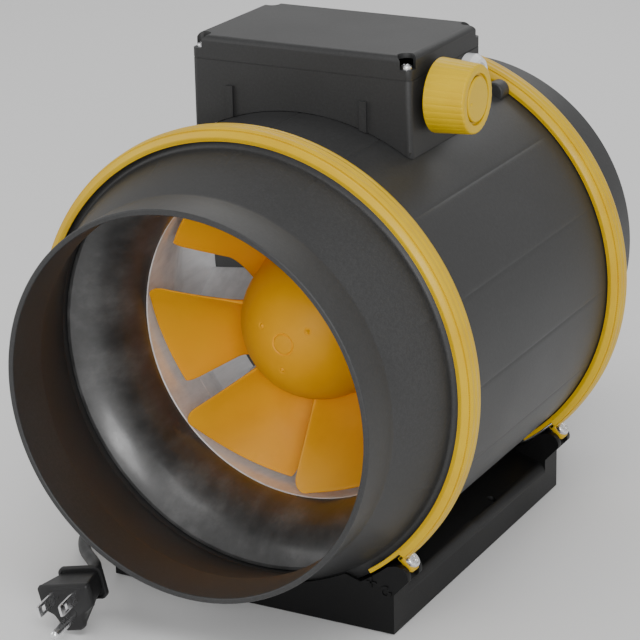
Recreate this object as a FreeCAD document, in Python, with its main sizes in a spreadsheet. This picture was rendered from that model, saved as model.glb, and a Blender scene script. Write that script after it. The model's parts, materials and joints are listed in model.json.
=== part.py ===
import FreeCAD, Part
import math
import os
from types import SimpleNamespace

import Sketcher

# Inline duct fan with a mixed-flow impeller, in millimetres.
# +Y runs along the duct from inlet to outlet, +X is the side with the speed knob, +Z is up.
# The origin is the centre of the foot's underside.

DRIVING = {
    # casing and duct connections
    "body_length": 328, "collar_radius": 100, "collar_length": 25.5, "spigot_wall": 3,
    "casing_radius": 116.3, "casing_wall": 2.8, "ground_gap": 11.9,
    "clamp_plane": 95.2, "flange_rise": 3.5, "seal_thickness": 1, "fit_gap": 0.3,
    # clamp bands
    "band_rise": 7.4, "band_width": 17, "band_angle": 269, "lip_angle": 289,
    "tab_width": 8, "tab_thickness": 3, "clamp_angle": 47, "clamp_offset": 9.2, "screw_radius": 2,
    # foot
    "foot_side_height": 17, "foot_shoulder": 28.5, "foot_hollow": 8.2, "foot_round": 6.5,
    "foot_hole_radius": 2.5, "foot_hole_front": -72, "foot_hole_rear": 27.5,
    # air path
    "throat_radius": 89, "throat_plane": -54, "bell_radius": 42.1, "mouth_radius": 111, "bell_wall": 2.5,
    "shroud_rear_radius": 97, "shroud_wall": 2.2, "stage_plane": -10, "guide_length": 68,
    "guide_wall": 2.4, "guide_count": 11, "tail_length": 55,
    # impeller
    "hub_radius": 41.7, "hub_centre": -22.3, "hub_wall": 3, "hub_rear_radius": 50.5,
    "hub_rear": 2, "blade_count": 7, "blade_span": 40, "blade_start": 168.9, "tip_gap": 3.2,
    # motor
    "can_radius": 36, "can_wall": 2.6, "can_front": -35.5, "magnet_wall": 3, "air_gap": 0.6,
    "shaft_radius": 4, "bearing_radius": 11, "bearing_width": 7, "running_gap": 0.03,
    "stack_front": -28, "stack_length": 16, "slot_count": 12, "flange_radius": 46,
    # terminal box
    "box_width": 124, "box_depth": 82, "box_shift": 1, "box_rise": 34.5, "lid_height": 12,
    "box_wall": 2.6, "lid_round": 3, "post_radius": 4.5,
    # speed knob
    "knob_radius": 19, "knob_face_radius": 17.5, "knob_length": 21.5, "knob_stand_off": 4,
    "knob_drop": 23.8, "knob_shift": -16.6, "pot_shaft_radius": 3, "pot_radius": 8,
    # mains lead
    "cord_radius": 3.25, "gland_shift": -45, "gland_drop": 23, "gland_radius": 9.2,
}

doc = FreeCAD.newDocument("InlineDuctFan")
sheet = doc.addObject("Spreadsheet::Sheet", "Sizes")
for row, (alias, number) in enumerate(DRIVING.items(), start=1):
    sheet.set("A%d" % row, alias)
    sheet.set("B%d" % row, str(number))
    sheet.setAlias("B%d" % row, alias)
doc.recompute()


class Size:
    """A number and the spreadsheet expression that gives it."""

    def __init__(self, value, text):
        self.value = float(value)
        self.text = text

    def __add__(self, other):
        other = size(other)
        return Size(self.value + other.value, "(%s + %s)" % (self.text, other.text))

    def __sub__(self, other):
        other = size(other)
        return Size(self.value - other.value, "(%s - %s)" % (self.text, other.text))

    def __mul__(self, other):
        other = size(other)
        return Size(self.value * other.value, "(%s * %s)" % (self.text, other.text))

    def __truediv__(self, other):
        other = size(other)
        return Size(self.value / other.value, "(%s / %s)" % (self.text, other.text))

    def __radd__(self, other):
        return size(other) + self

    def __rsub__(self, other):
        return size(other) - self

    def __rmul__(self, other):
        return size(other) * self

    def __neg__(self):
        return Size(-self.value, "(0 - %s)" % self.text)


def size(item):
    """Any plain number as a Size."""
    return item if isinstance(item, Size) else Size(item, "%.9g" % item)


def cosine(angle):
    angle = size(angle)
    return Size(math.cos(math.radians(angle.value)), "cos(%s * 1deg)" % angle.text)


def sine(angle):
    angle = size(angle)
    return Size(math.sin(math.radians(angle.value)), "sin(%s * 1deg)" % angle.text)


d = SimpleNamespace(**{name: Size(sheet.get(name), "Sizes." + name) for name in DRIVING})

# Sizes that follow from the driving ones.
half_length = d.body_length / 2
axis_height = d.ground_gap + d.casing_radius
bore = d.casing_radius - d.casing_wall
flange = d.casing_radius + d.flange_rise
band_crown = d.casing_radius + d.band_rise
band_half = d.band_width / 2
clamp_radius = d.casing_radius + d.clamp_offset
clamp_x = clamp_radius * cosine(d.clamp_angle)
clamp_z = axis_height - clamp_radius * sine(d.clamp_angle)
foot_half_width = clamp_x - 3.6
foot_half_length = d.clamp_plane + band_half - 0.2
seal_half = d.seal_thickness / 2
box_half = d.box_width / 2
box_front = d.box_shift - d.box_depth / 2
box_rear = d.box_shift + d.box_depth / 2
box_top = axis_height + d.casing_radius + d.box_rise
seam = box_top - d.lid_height
floor_radius = d.casing_radius + d.fit_gap
knob_height = box_top - d.knob_drop
gland_height = box_top - d.gland_drop
motor_plane = d.hub_rear + 2
lead_plane = box_rear - 18
web_plane = motor_plane + 4

nodes = []


def finish(item, label):
    """Names a finished sub-part and books it for export."""
    item.Label = label
    nodes.append(item)
    return item


def bind(item, path, amount):
    item.setExpression(path, size(amount).text)


def lift_to_axis(item, along=0):
    """Puts a piece that was drawn about its own Y axis on the duct axis."""
    bind(item, "Placement.Base.z", axis_height)
    bind(item, "Placement.Base.y", along)


def new_body(label, many=False):
    body = doc.addObject("PartDesign::Body", "Body_" + label)
    body.AllowCompound = many
    return finish(body, label)


def new_sketch(body, plane, shift=None, normal=None):
    """A sketch on one of the body's origin planes, moved up in the plane and out along its normal."""
    sketch = body.newObject("Sketcher::SketchObject", "Sketch")
    support = [item for item in body.Origin.OriginFeatures if item.Role == plane][0]
    sketch.AttachmentSupport = [(support, "")]
    sketch.MapMode = "FlatFace"
    if shift is not None:
        bind(sketch, "AttachmentOffset.Base.y", shift)
    if normal is not None:
        bind(sketch, "AttachmentOffset.Base.z", normal)
    return sketch


def fix_point(sketch, geometry, position, u, v):
    """Ties a point to its distances from the sketch's origin."""
    for kind, axis, coordinate in (("DistanceX", -2, size(u)), ("DistanceY", -1, size(v))):
        if coordinate.text == "0":
            sketch.addConstraint(Sketcher.Constraint("PointOnObject", geometry, position, axis))
            continue
        ends = (-1, 1, geometry, position)
        text = coordinate.text
        if coordinate.value < 0:
            ends = (geometry, position, -1, 1)
            text = "0 - %s" % text
        index = sketch.addConstraint(Sketcher.Constraint(kind, *ends, abs(coordinate.value)))
        sketch.setExpression("Constraints[%d]" % index, text)


def minor_arc(start, end, radius, side):
    """The short arc from start to end; side +1 has its centre on the left of that way."""
    chord = end - start
    middle = (start + end) * 0.5
    left = FreeCAD.Vector(-chord.y, chord.x, 0).normalize()
    reach = math.sqrt(max(radius ** 2 - (chord.Length / 2) ** 2, 0))
    centre = middle + left * reach * side
    first, last = (start, end) if side > 0 else (end, start)
    begin = math.atan2(first.y - centre.y, first.x - centre.x)
    finish_at = math.atan2(last.y - centre.y, last.x - centre.x)
    if finish_at < begin:
        finish_at += 2 * math.pi
    circle = Part.Circle(centre, FreeCAD.Vector(0, 0, 1), radius)
    return Part.ArcOfCircle(circle, begin, finish_at)


def draw_loop(sketch, corners, arcs=None):
    """A closed outline; arcs gives radius and side of the edges that are round."""
    arcs = arcs or {}
    first = sketch.GeometryCount
    places = [FreeCAD.Vector(size(u).value, size(v).value, 0) for u, v in corners]
    count = len(places)
    ends = []
    for index, start in enumerate(places):
        stop = places[(index + 1) % count]
        if index in arcs:
            radius, side = arcs[index]
            sketch.addGeometry(minor_arc(start, stop, size(radius).value, side), False)
            ends.append((1, 2) if side > 0 else (2, 1))
        else:
            sketch.addGeometry(Part.LineSegment(start, stop), False)
            ends.append((1, 2))
    for index, (u, v) in enumerate(corners):
        following = (index + 1) % count
        sketch.addConstraint(Sketcher.Constraint(
            "Coincident", first + index, ends[index][1], first + following, ends[following][0]))
        fix_point(sketch, first + index, ends[index][0], u, v)
    for index, (radius, side) in arcs.items():
        row = sketch.addConstraint(Sketcher.Constraint("Radius", first + index, size(radius).value))
        sketch.setExpression("Constraints[%d]" % row, size(radius).text)


def draw_circle(sketch, u, v, radius):
    centre = FreeCAD.Vector(size(u).value, size(v).value, 0)
    circle = Part.Circle(centre, FreeCAD.Vector(0, 0, 1), size(radius).value)
    geometry = sketch.addGeometry(circle, False)
    fix_point(sketch, geometry, 3, u, v)
    row = sketch.addConstraint(Sketcher.Constraint("Radius", geometry, size(radius).value))
    sketch.setExpression("Constraints[%d]" % row, size(radius).text)


def rectangle(left, right, low, high):
    return [(left, low), (right, low), (right, high), (left, high)]


def rounded_rectangle(left, right, low, high, radius):
    """The corners and arcs of a rectangle with round corners."""
    left, right, low, high = size(left), size(right), size(low), size(high)
    corners = [(left + radius, low), (right - radius, low), (right, low + radius), (right, high - radius),
               (right - radius, high), (left + radius, high), (left, high - radius), (left, low + radius)]
    return corners, {index: (radius, 1) for index in (1, 3, 5, 7)}


def spin(body, sketch, angle=360, cut=False):
    """Turns a profile about the sketch's horizontal axis, evenly to both sides of its plane."""
    kind = "PartDesign::Groove" if cut else "PartDesign::Revolution"
    feature = body.newObject(kind, "Turned")
    feature.Profile = sketch
    feature.ReferenceAxis = (sketch, ["H_Axis"])
    feature.Midplane = True
    bind(feature, "Angle", angle)
    return feature


def push(body, sketch, length, cut=False, both=False, back=False, taper=None):
    """A pad or pocket of the sketch along its normal."""
    kind = "PartDesign::Pocket" if cut else "PartDesign::Pad"
    feature = body.newObject(kind, "Pushed")
    feature.Profile = sketch
    feature.Midplane = both
    feature.Reversed = back
    bind(feature, "Length", length)
    if taper is not None:
        bind(feature, "TaperAngle", taper)
    return feature


def repeat(body, feature, count):
    """The feature again, evenly round the duct axis."""
    axis = [item for item in body.Origin.OriginFeatures if item.Role == "Y_Axis"][0]
    pattern = body.newObject("PartDesign::PolarPattern", "Ring")
    pattern.Originals = [feature]
    pattern.Axis = (axis, [""])
    pattern.Angle = 360
    bind(pattern, "Occurrences", count)
    body.Tip = pattern
    return pattern


def turned_ring(label, corners, arcs=None):
    """A piece turned about the duct axis from (along the duct, radius) corners."""
    body = new_body(label)
    sketch = new_sketch(body, "YZ_Plane")
    draw_loop(sketch, corners, arcs)
    spin(body, sketch)
    lift_to_axis(body)
    return body


def pin(name, profile, place, direction):
    """A turned fastener or stud from (along, radius) corners, pointing along direction."""
    body = doc.addObject("PartDesign::Body", name)
    sketch = new_sketch(body, "XY_Plane")
    draw_loop(sketch, profile)
    spin(body, sketch)
    body.Placement.Rotation = FreeCAD.Rotation(FreeCAD.Vector(1, 0, 0), FreeCAD.Vector(*direction))
    for axis, amount in zip("xyz", place):
        bind(body, "Placement.Base." + axis, amount)
    return body


def group(label, members):
    """Separate solids of one kind, kept as one node."""
    compound = doc.addObject("Part::Compound", "Group_" + label)
    compound.Links = members
    return finish(compound, label)


def from_shape(label, shape):
    """A piece whose surface is lofted or swept here, from sizes read off the sheet."""
    item = doc.addObject("Part::Feature", "Shape_" + label)
    item.Shape = shape
    return finish(item, label)


def polar_point(radius, angle, along, height=axis_height):
    """A point at an angle round the duct, from +X towards +Z."""
    turn = math.radians(angle)
    return FreeCAD.Vector(radius * math.cos(turn), along, height.value + radius * math.sin(turn))


SIDES = (1, -1)


def screw_profile(length, radius, head_radius, head_height=2.2):
    """Corners of a pan head above 0 and its shank below."""
    chamfer = head_height * 0.4
    return [(-length, 0), (head_height, 0), (head_height, head_radius - chamfer),
            (head_height - chamfer, head_radius), (0, head_radius), (0, radius), (-length, radius)]


# ---------------------------------------------------------------- casing

def make_middle_casing():
    """The tube between the clamp bands, with V flanges, two rear lugs and the lead's hole."""
    body = new_body("middle_casing")
    sketch = new_sketch(body, "YZ_Plane")
    face = d.clamp_plane - seal_half
    rim = face - 3.2
    root = rim - 3
    draw_loop(sketch, [
        (-face, bore), (face, bore), (face, flange), (rim, flange), (root, d.casing_radius),
        (-root, d.casing_radius), (-rim, flange), (-face, flange)])
    spin(body, sketch)
    lug_angle = 62.7
    lugs = new_sketch(body, "XZ_Plane")
    for side in SIDES:
        draw_circle(lugs, side * (d.casing_radius + 1) * cosine(lug_angle),
                    (d.casing_radius + 1) * sine(lug_angle), 5.5)
    bind(lugs, "AttachmentOffset.Base.z", -(d.clamp_plane - band_half - 0.6))
    push(body, lugs, 10)
    bore_again = new_sketch(body, "YZ_Plane")
    draw_loop(bore_again, [(-face, 0), (face, 0), (face, bore), (-face, bore)])
    spin(body, bore_again, cut=True)
    hole = new_sketch(body, "XY_Plane", shift=lead_plane, normal=d.casing_radius * 0.8)
    draw_circle(hole, 0, 0, 4)
    push(body, hole, d.casing_radius, cut=True, back=True)
    screws = new_sketch(body, "XY_Plane", normal=d.casing_radius * 0.8)
    for x, y in BOX_SCREWS:
        draw_circle(screws, x, y, 1.45)
    push(body, screws, d.casing_radius, cut=True, back=True)
    lift_to_axis(body)


BOX_SCREWS = [(x, y) for x in (-40, 40) for y in (box_front + 10, box_rear - 15)]


def spigot_corners(way):
    """Corners of a spigot: flange, cone and straight collar; way -1 is the inlet."""
    face = d.clamp_plane + seal_half
    rim = face + 3.2
    root = rim + 3
    bend = half_length - d.collar_length
    wall = d.spigot_wall
    cone_root = d.casing_radius - 3
    outer = [(face, flange), (rim, flange), (root, cone_root), (bend, d.collar_radius),
             (half_length - 0.8, d.collar_radius), (half_length, d.collar_radius - 0.8)]
    inner = [(half_length, d.collar_radius - wall + 0.6), (half_length - 0.8, d.collar_radius - wall),
             (bend, d.collar_radius - wall), (root, cone_root - wall), (face, bore - 1)]
    corners = [(along * way, radius) for along, radius in outer + inner]
    return corners if way > 0 else corners[::-1]


def make_seals():
    for label, way in (("inlet_seal", -1), ("outlet_seal", 1)):
        face = d.clamp_plane * way
        turned_ring(label, rectangle(face - seal_half, face + seal_half, bore + 0.5, flange - 1))


def make_clamp_band(label, way):
    """A V band: crown and legs, thinner lips past its ends, necks and two screw tabs."""
    body = new_body(label)
    leg_foot = d.casing_radius + 0.6
    leg_top = d.casing_radius + 2.9
    leg = 1.5
    full = new_sketch(body, "YZ_Plane")
    draw_loop(full, [
        (-band_half, leg_foot), (leg - band_half, leg_foot), (-4.2, flange + 0.6),
        (4.2, flange + 0.6), (band_half - leg, leg_foot), (band_half, leg_foot),
        (band_half, leg_top), (band_half - 2, band_crown - 1.3), (3, band_crown),
        (-3, band_crown), (2 - band_half, band_crown - 1.3), (-band_half, leg_top)])
    spin(body, full, d.band_angle)
    lips = new_sketch(body, "YZ_Plane")
    for side in SIDES:
        corners = [(side * band_half, leg_foot), (side * band_half, leg_top),
                   (side * (band_half - leg), leg_top), (side * (band_half - leg), leg_foot)]
        draw_loop(lips, corners)
    spin(body, lips, d.lip_angle)
    neck = new_sketch(body, "YZ_Plane")
    half_tab = d.tab_width / 2
    draw_loop(neck, rectangle(-half_tab, half_tab, flange + 0.7, band_crown - 0.5))
    spin(body, neck, 180 + 2 * d.clamp_angle)
    tabs = new_sketch(body, "XZ_Plane")
    for side in SIDES:
        draw_loop(tabs, [clamp_point(side, radius, rise) for radius, rise in (
            (flange + 0.7, 0), (clamp_radius + 5, 0),
            (clamp_radius + 5, d.tab_thickness), (flange + 0.7, d.tab_thickness))])
    push(body, tabs, d.tab_width, both=True)
    for side in SIDES:
        tangent = clamp_direction(side)
        hole = body.newObject("PartDesign::SubtractiveCylinder", "TabHole")
        bind(hole, "Radius", d.screw_radius + 0.2)
        bind(hole, "Height", d.tab_thickness + 4)
        x, z = clamp_point(side, clamp_radius, -2)
        hole.Placement.Rotation = FreeCAD.Rotation(FreeCAD.Vector(0, 0, 1), tangent)
        bind(hole, "Placement.Base.x", x)
        bind(hole, "Placement.Base.z", z)
        relief = body.newObject("PartDesign::SubtractiveCylinder", "HeadRelief")
        bind(relief, "Radius", SCREW_HEAD_RADIUS + 0.4)
        bind(relief, "Height", 7)
        x, z = clamp_point(side, clamp_radius, d.tab_thickness)
        relief.Placement.Rotation = FreeCAD.Rotation(FreeCAD.Vector(0, 0, 1), tangent)
        bind(relief, "Placement.Base.x", x)
        bind(relief, "Placement.Base.z", z)
    lift_to_axis(body, d.clamp_plane * way)


def clamp_point(side, radius, rise):
    """(x, z) from the duct axis: a radius at the clamp angle, and a rise along the band's way."""
    x = radius * cosine(d.clamp_angle) + rise * sine(d.clamp_angle)
    z = rise * cosine(d.clamp_angle) - radius * sine(d.clamp_angle)
    return side * x, z


def clamp_direction(side):
    turn = math.radians(d.clamp_angle.value)
    return FreeCAD.Vector(side * math.sin(turn), 0, math.cos(turn))


SCREW_HEAD_RADIUS = 4.2


def make_clamp_screws():
    members = []
    for way in SIDES:
        for side in SIDES:
            x, z = clamp_point(side, clamp_radius, d.tab_thickness)
            profile = screw_profile(d.tab_thickness + 11, d.screw_radius, SCREW_HEAD_RADIUS, 2.6)
            members.append(pin("ClampScrew", profile, (x, d.clamp_plane * way, z + axis_height),
                               clamp_direction(side)))
    group("clamp_screws", members)


# ---------------------------------------------------------------- foot

def make_foot():
    """The moulded foot: lug pedestals, sloping shoulders, saddle, seats and a ribbed underside."""
    body = new_body("base_foot", many=True)
    knuckle = 6.2
    centre_x = clamp_x - 2
    centre_z = clamp_z - 5
    for way in SIDES:
        blocks = new_sketch(body, "XZ_Plane", normal=-d.clamp_plane * way)
        for side in SIDES:
            corners = [(side * (foot_half_width - 20), 10), (side * (foot_half_width - 20), 32),
                       (side * (centre_x - 1.5), centre_z + 6.01), (side * (centre_x + 6.01), centre_z - 1.5),
                       (side * foot_half_width, centre_z - 10), (side * foot_half_width, 10)]
            draw_loop(blocks, corners, {2: (knuckle, -side)})
        push(body, blocks, 2 * (foot_half_length - d.clamp_plane), both=True)
    ring_groove = new_sketch(body, "YZ_Plane", shift=axis_height)
    for way in SIDES:
        centre = d.clamp_plane * way
        draw_loop(ring_groove, rectangle(centre - band_half - 0.6, centre + band_half + 0.6,
                                         0.5 * d.casing_radius, flange + 1))
    spin(body, ring_groove, cut=True)
    shoulder = new_sketch(body, "XZ_Plane")
    draw_loop(shoulder, *foot_section(0))
    push(body, shoulder, 2 * foot_half_length, both=True)
    front = new_sketch(body, "XZ_Plane", normal=foot_half_length)
    draw_loop(front, *foot_section(1))
    push(body, front, foot_half_length - 3, back=True)
    saddle = new_sketch(body, "YZ_Plane", shift=axis_height)
    draw_loop(saddle, saddle_corners())
    spin(body, saddle, cut=True)
    cells = new_sketch(body, "XY_Plane")
    cell_x = foot_half_width - 12
    cell_y = d.clamp_plane - 10
    for side in SIDES:
        for way in SIDES:
            draw_loop(cells, [(side * 2, way * 2), (side * cell_x, way * 2),
                              (side * cell_x, way * cell_y), (side * 2, way * cell_y)])
    push(body, cells, d.foot_hollow, cut=True, back=True)
    holes = new_sketch(body, "XY_Plane")
    for side in SIDES:
        for along in (d.foot_hole_front, d.foot_hole_rear):
            draw_circle(holes, side * (foot_half_width - 6), along, d.foot_hole_radius)
    push(body, holes, 60, cut=True, back=True)
    for way in SIDES:
        seats = new_sketch(body, "XZ_Plane", normal=-d.clamp_plane * way)
        for side in SIDES:
            corners = []
            for radius, rise in ((flange - 1, -2.5), (clamp_radius + 16, -2.5),
                                 (clamp_radius + 16, 16), (flange - 1, 16)):
                x, z = clamp_point(side, radius, rise)
                corners.append((x, z + axis_height))
            draw_loop(seats, corners)
        push(body, seats, d.tab_width + 0.8, cut=True, both=True)
        for side in SIDES:
            x, z = clamp_point(side, clamp_radius, -13)
            bore_hole = body.newObject("PartDesign::SubtractiveCylinder", "ScrewBore")
            bind(bore_hole, "Radius", d.screw_radius + 0.02)
            bind(bore_hole, "Height", 14)
            bore_hole.Placement.Rotation = FreeCAD.Rotation(
                FreeCAD.Vector(0, 0, 1), clamp_direction(side))
            bind(bore_hole, "Placement.Base.x", x)
            bind(bore_hole, "Placement.Base.y", d.clamp_plane * way)
            bind(bore_hole, "Placement.Base.z", z + axis_height)


def foot_section(rise):
    """The foot's cross-section: upright sides, rounded edges and shoulders up to the casing."""
    top = d.foot_shoulder + rise
    radius = d.foot_round
    bend = 73
    edge_top = d.foot_side_height + rise + 3.1
    edge_low = edge_top - radius * sine(bend)
    edge_x = foot_half_width - radius * (1 - cosine(bend))
    corners = [(-foot_half_width, 0), (foot_half_width, 0), (foot_half_width, edge_low), (edge_x, edge_top),
               (foot_half_width - 32, top), (32 - foot_half_width, top), (-edge_x, edge_top),
               (-foot_half_width, edge_low)]
    return corners, {2: (radius, 1), 6: (radius, 1)}


def saddle_corners():
    """Corners (along the duct, radius) of what the casing, flanges and cones take out of the foot."""
    gap = 0.4
    near = d.clamp_plane - 6.3 - gap
    far = d.clamp_plane + 6.3 + gap
    groove = flange + gap
    casing = d.casing_radius + gap
    cone = d.casing_radius - 3 + 2 * gap
    half = [(near, casing), (near, groove), (far, groove), (far, cone), (far + 20, cone)]
    other = [(-along, radius) for along, radius in half[::-1]]
    return [(-far - 20, 10), (far + 20, 10)] + half[::-1] + other[::-1]


# ---------------------------------------------------------------- air path

def bell_corners():
    """Corners of the inlet nozzle: flange, quarter-round mouth and short throat."""
    back = d.throat_plane
    radius = d.bell_radius
    rise = d.mouth_radius - d.throat_radius
    depth_value = math.sqrt(radius.value ** 2 - (radius.value - rise.value) ** 2)
    depth = Size(depth_value, "sqrt(%s ^ 2 - (%s - %s) ^ 2)" % (radius.text, radius.text, rise.text))
    wall = d.bell_wall
    small = radius - wall
    outer_rise = rise - wall - 1
    inner_value = math.sqrt(small.value ** 2 - (small.value - outer_rise.value) ** 2)
    inner_depth = Size(inner_value, "sqrt(%s ^ 2 - (%s - %s) ^ 2)" % (
        small.text, small.text, outer_rise.text))
    throat_end = back + 3.5
    front = back - depth
    corners = [
        (throat_end, d.throat_radius), (back, d.throat_radius), (front, d.mouth_radius),
        (front, bore - d.fit_gap), (front + 3, bore - d.fit_gap),
        (front + 3, d.mouth_radius - 1), (back - inner_depth, d.throat_radius + wall + outer_rise),
        (back, d.throat_radius + wall), (throat_end, d.throat_radius + wall)]
    return corners, front


def make_nozzle():
    corners, front = bell_corners()
    turned_ring("inlet_nozzle", corners, {1: (d.bell_radius, -1), 6: (d.bell_radius - d.bell_wall, 1)})


def make_shroud():
    """The wind band round the blades, with its flange on the casing wall."""
    front = d.throat_plane + 4
    rear = d.stage_plane
    wall = d.shroud_wall
    turned_ring("impeller_shroud", [
        (front, d.throat_radius), (front, d.throat_radius + wall + 1),
        (rear - 2.5, d.shroud_rear_radius + wall), (rear - 2.5, bore - d.fit_gap),
        (rear, bore - d.fit_gap), (rear, d.shroud_rear_radius)][::-1])


def guide_sizes():
    front = d.stage_plane + 0.2
    rear = front + d.guide_length
    return front, rear, bore - d.fit_gap


def make_guide_vanes():
    """The stator: outer ring, inner hub with a motor web, and curved vanes between them."""
    front, rear, outer = (item.value for item in guide_sizes())
    wall = d.guide_wall.value
    start = d.shroud_rear_radius.value
    middle = front + 32
    ring_profile = [(front, start), (front, outer), (front + wall, outer), (front + wall, start + wall + 1),
                    (middle, outer), (rear, outer), (rear, outer - wall), (middle, outer - wall)]
    hub_front = d.hub_rear.value + 1.2
    hub_nose = d.hub_rear_radius.value
    hub_rear = hub_nose + 9
    web = web_plane.value
    hub_profile = [(hub_front, hub_nose), (rear, hub_rear), (rear, hub_rear - wall),
                   (web + 3, hub_nose - 1.6), (web + 3, 18), (web, 18), (web, hub_nose - 2.2),
                   (hub_front, hub_nose - wall)]
    ring = revolve_profile(ring_profile)
    hub = revolve_profile(hub_profile)
    envelope = revolve_profile([(hub_front + 3, hub_nose - 1), (rear - 2, hub_rear - 1),
                                (rear - 2, outer - 1), (middle, outer - 1),
                                (front + 10, start + 5.5), (hub_front + 3, start + 8)])
    vane = vane_blank(front, rear, hub_nose, outer).common(envelope)
    count = int(d.guide_count.value)
    vanes = []
    for index in range(count):
        copy = vane.copy()
        copy.rotate(FreeCAD.Vector(0, 0, 0), FreeCAD.Vector(0, 1, 0), -(90 + 360.0 * index / count))
        vanes.append(copy)
    duct = Part.makeCylinder(5, outer - hub_nose + 4, FreeCAD.Vector(0, lead_plane.value, hub_nose - 1),
                             FreeCAD.Vector(0, 0, 1))
    duct = duct.common(Part.makeCylinder(outer - 1, 100, FreeCAD.Vector(0, -20, 0),
                                         FreeCAD.Vector(0, 1, 0)))
    shape = ring.fuse([hub, duct] + vanes)
    lead_hole = Part.makeCylinder(3.4, outer, FreeCAD.Vector(0, lead_plane.value, hub_nose - 12),
                                  FreeCAD.Vector(0, 0, 1))
    shape = shape.cut(lead_hole)
    for index in range(4):
        turn = math.radians(45 + 90 * index)
        place = FreeCAD.Vector(MOTOR_SCREW_RADIUS * math.cos(turn), web - 5,
                               MOTOR_SCREW_RADIUS * math.sin(turn))
        shape = shape.cut(Part.makeCylinder(1.7, 12, place, FreeCAD.Vector(0, 1, 0)))
    item = from_shape("guide_vane_unit", shape.removeSplitter())
    lift_to_axis(item)


MOTOR_SCREW_RADIUS = 40


def revolve_profile(corners):
    """A solid turned about the Y axis from (along, radius) corners."""
    points = [FreeCAD.Vector(0, along, radius) for along, radius in corners]
    wire = Part.makePolygon(points + points[:1])
    return Part.Face(wire).revolve(FreeCAD.Vector(0, 0, 0), FreeCAD.Vector(0, 1, 0), 360)


def camber_section(start, end, camber, thickness, height):
    """A closed blade section at one height: two curves over the camber line, with blunt ends."""
    chord = FreeCAD.Vector(end[0] - start[0], end[1] - start[1], 0)
    normal = FreeCAD.Vector(-chord.y, chord.x, 0).normalize()
    upper = []
    lower = []
    for step in range(7):
        share = step / 6
        bow = camber * 4 * share * (1 - share)
        half = thickness * (0.28 + 0.22 * math.sin(math.pi * min(1, share * 1.1 + 0.05)))
        middle = FreeCAD.Vector(start[0], start[1], 0) + chord * share + normal * bow
        upper.append(middle + normal * half)
        lower.append(middle - normal * half)
    edges = []
    for row in (upper, lower):
        curve = Part.BSplineCurve()
        curve.interpolate([FreeCAD.Vector(p.x, p.y, height) for p in row])
        edges.append(curve)
    first = edges[0].toShape()
    second = edges[1].toShape()
    nose = Part.makeLine(first.Vertexes[0].Point, second.Vertexes[0].Point)
    tail = Part.makeLine(first.Vertexes[-1].Point, second.Vertexes[-1].Point)
    return Part.Wire([first, tail, second, nose])


def vane_blank(front, rear, inner, outer):
    """One guide vane standing along +Z: it takes the swirl out of the air."""
    sections = []
    for share in (0, 0.5, 1):
        height = inner - 4 + (outer - inner + 6) * share
        lean = 10 + 6 * share
        start = (-lean, front + 14 - 3 * share)
        end = (lean * 0.35, rear - 3)
        sections.append(camber_section(start, end, 5.5, 3.2, height))
    return Part.makeLoft(sections, True, False)


def make_tail():
    """The fairing behind the guide vanes, closed and rounded at its end."""
    rear = guide_sizes()[1]
    root = d.hub_rear_radius + 9
    start = rear + 0.2
    end = rear + d.tail_length
    wall = d.guide_wall
    turned_ring("tail_fairing", [
        (start, root), (start, root - wall), (end - wall, 26), (end - wall, 0), (end, 0),
        (end, 24), (end - 4, 29.5)])


# ---------------------------------------------------------------- impeller

def hub_corners():
    """Corners of the hub: domed nose, widening skirt, and an inner seat for the rotor can."""
    centre = d.hub_centre
    nose = centre - d.hub_radius
    inner = d.hub_radius - d.hub_wall
    seat = d.can_radius + 0.05
    seat_depth_value = math.sqrt(inner.value ** 2 - seat.value ** 2)
    seat_depth = Size(seat_depth_value, "sqrt(%s ^ 2 - %s ^ 2)" % (inner.text, seat.text))
    corners = [(nose, 0), (centre, d.hub_radius), (d.hub_rear, d.hub_rear_radius),
               (d.hub_rear, d.hub_rear_radius - d.hub_wall), (centre + 7, d.hub_radius - 0.4),
               (centre + 7, d.can_radius + 2.6), (d.hub_rear - 5, d.can_radius + 2.6),
               (d.hub_rear - 5, seat), (centre - seat_depth, seat), (centre - inner, 0)]
    return corners, {0: (d.hub_radius, -1), 8: (inner, 1)}


def make_impeller():
    """Hub and blades moulded as one piece."""
    corners, arcs = hub_corners()
    wires = []
    points = [FreeCAD.Vector(0, size(u).value, size(v).value) for u, v in corners]
    for index, start in enumerate(points):
        stop = points[(index + 1) % len(points)]
        if index in arcs:
            radius = arcs[index][0].value
            centre = FreeCAD.Vector(0, d.hub_centre.value, 0)
            middle = ((start - centre).normalize() + (stop - centre).normalize()).normalize()
            wires.append(Part.Arc(start, centre + middle * radius, stop).toShape())
        else:
            wires.append(Part.LineSegment(start, stop).toShape())
    face = Part.Face(Part.Wire(wires))
    hub = face.revolve(FreeCAD.Vector(0, 0, 0), FreeCAD.Vector(0, 1, 0), 360)
    tip_front = d.throat_radius.value - d.tip_gap.value
    front = d.throat_plane.value - 6
    slope = (d.shroud_rear_radius.value - d.throat_radius.value) / (
        d.stage_plane.value - d.throat_plane.value - 4)
    rear = d.hub_rear.value - 1
    tip_rear = tip_front + slope * (rear - d.throat_plane.value - 4)
    inside = d.hub_centre.value - 12
    envelope = revolve_profile([
        (front, 20), (inside, 39.2 * d.hub_radius.value / 41.7), (d.hub_centre.value, d.hub_radius.value - 1.5),
        (rear, d.hub_rear_radius.value - 2), (rear, tip_rear), (d.throat_plane.value, tip_front),
        (front, tip_front - 0.4)])
    blade = blade_blank(tip_front).common(envelope)
    count = int(d.blade_count.value)
    middle_angle = d.blade_start.value + d.blade_span.value / 2
    blades = []
    for index in range(count):
        copy = blade.copy()
        turn = middle_angle + 360.0 * index / count - 90
        copy.rotate(FreeCAD.Vector(0, 0, 0), FreeCAD.Vector(0, 1, 0), -turn)
        blades.append(copy)
    item = from_shape("impeller", hub.fuse(blades).removeSplitter())
    lift_to_axis(item)


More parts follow.
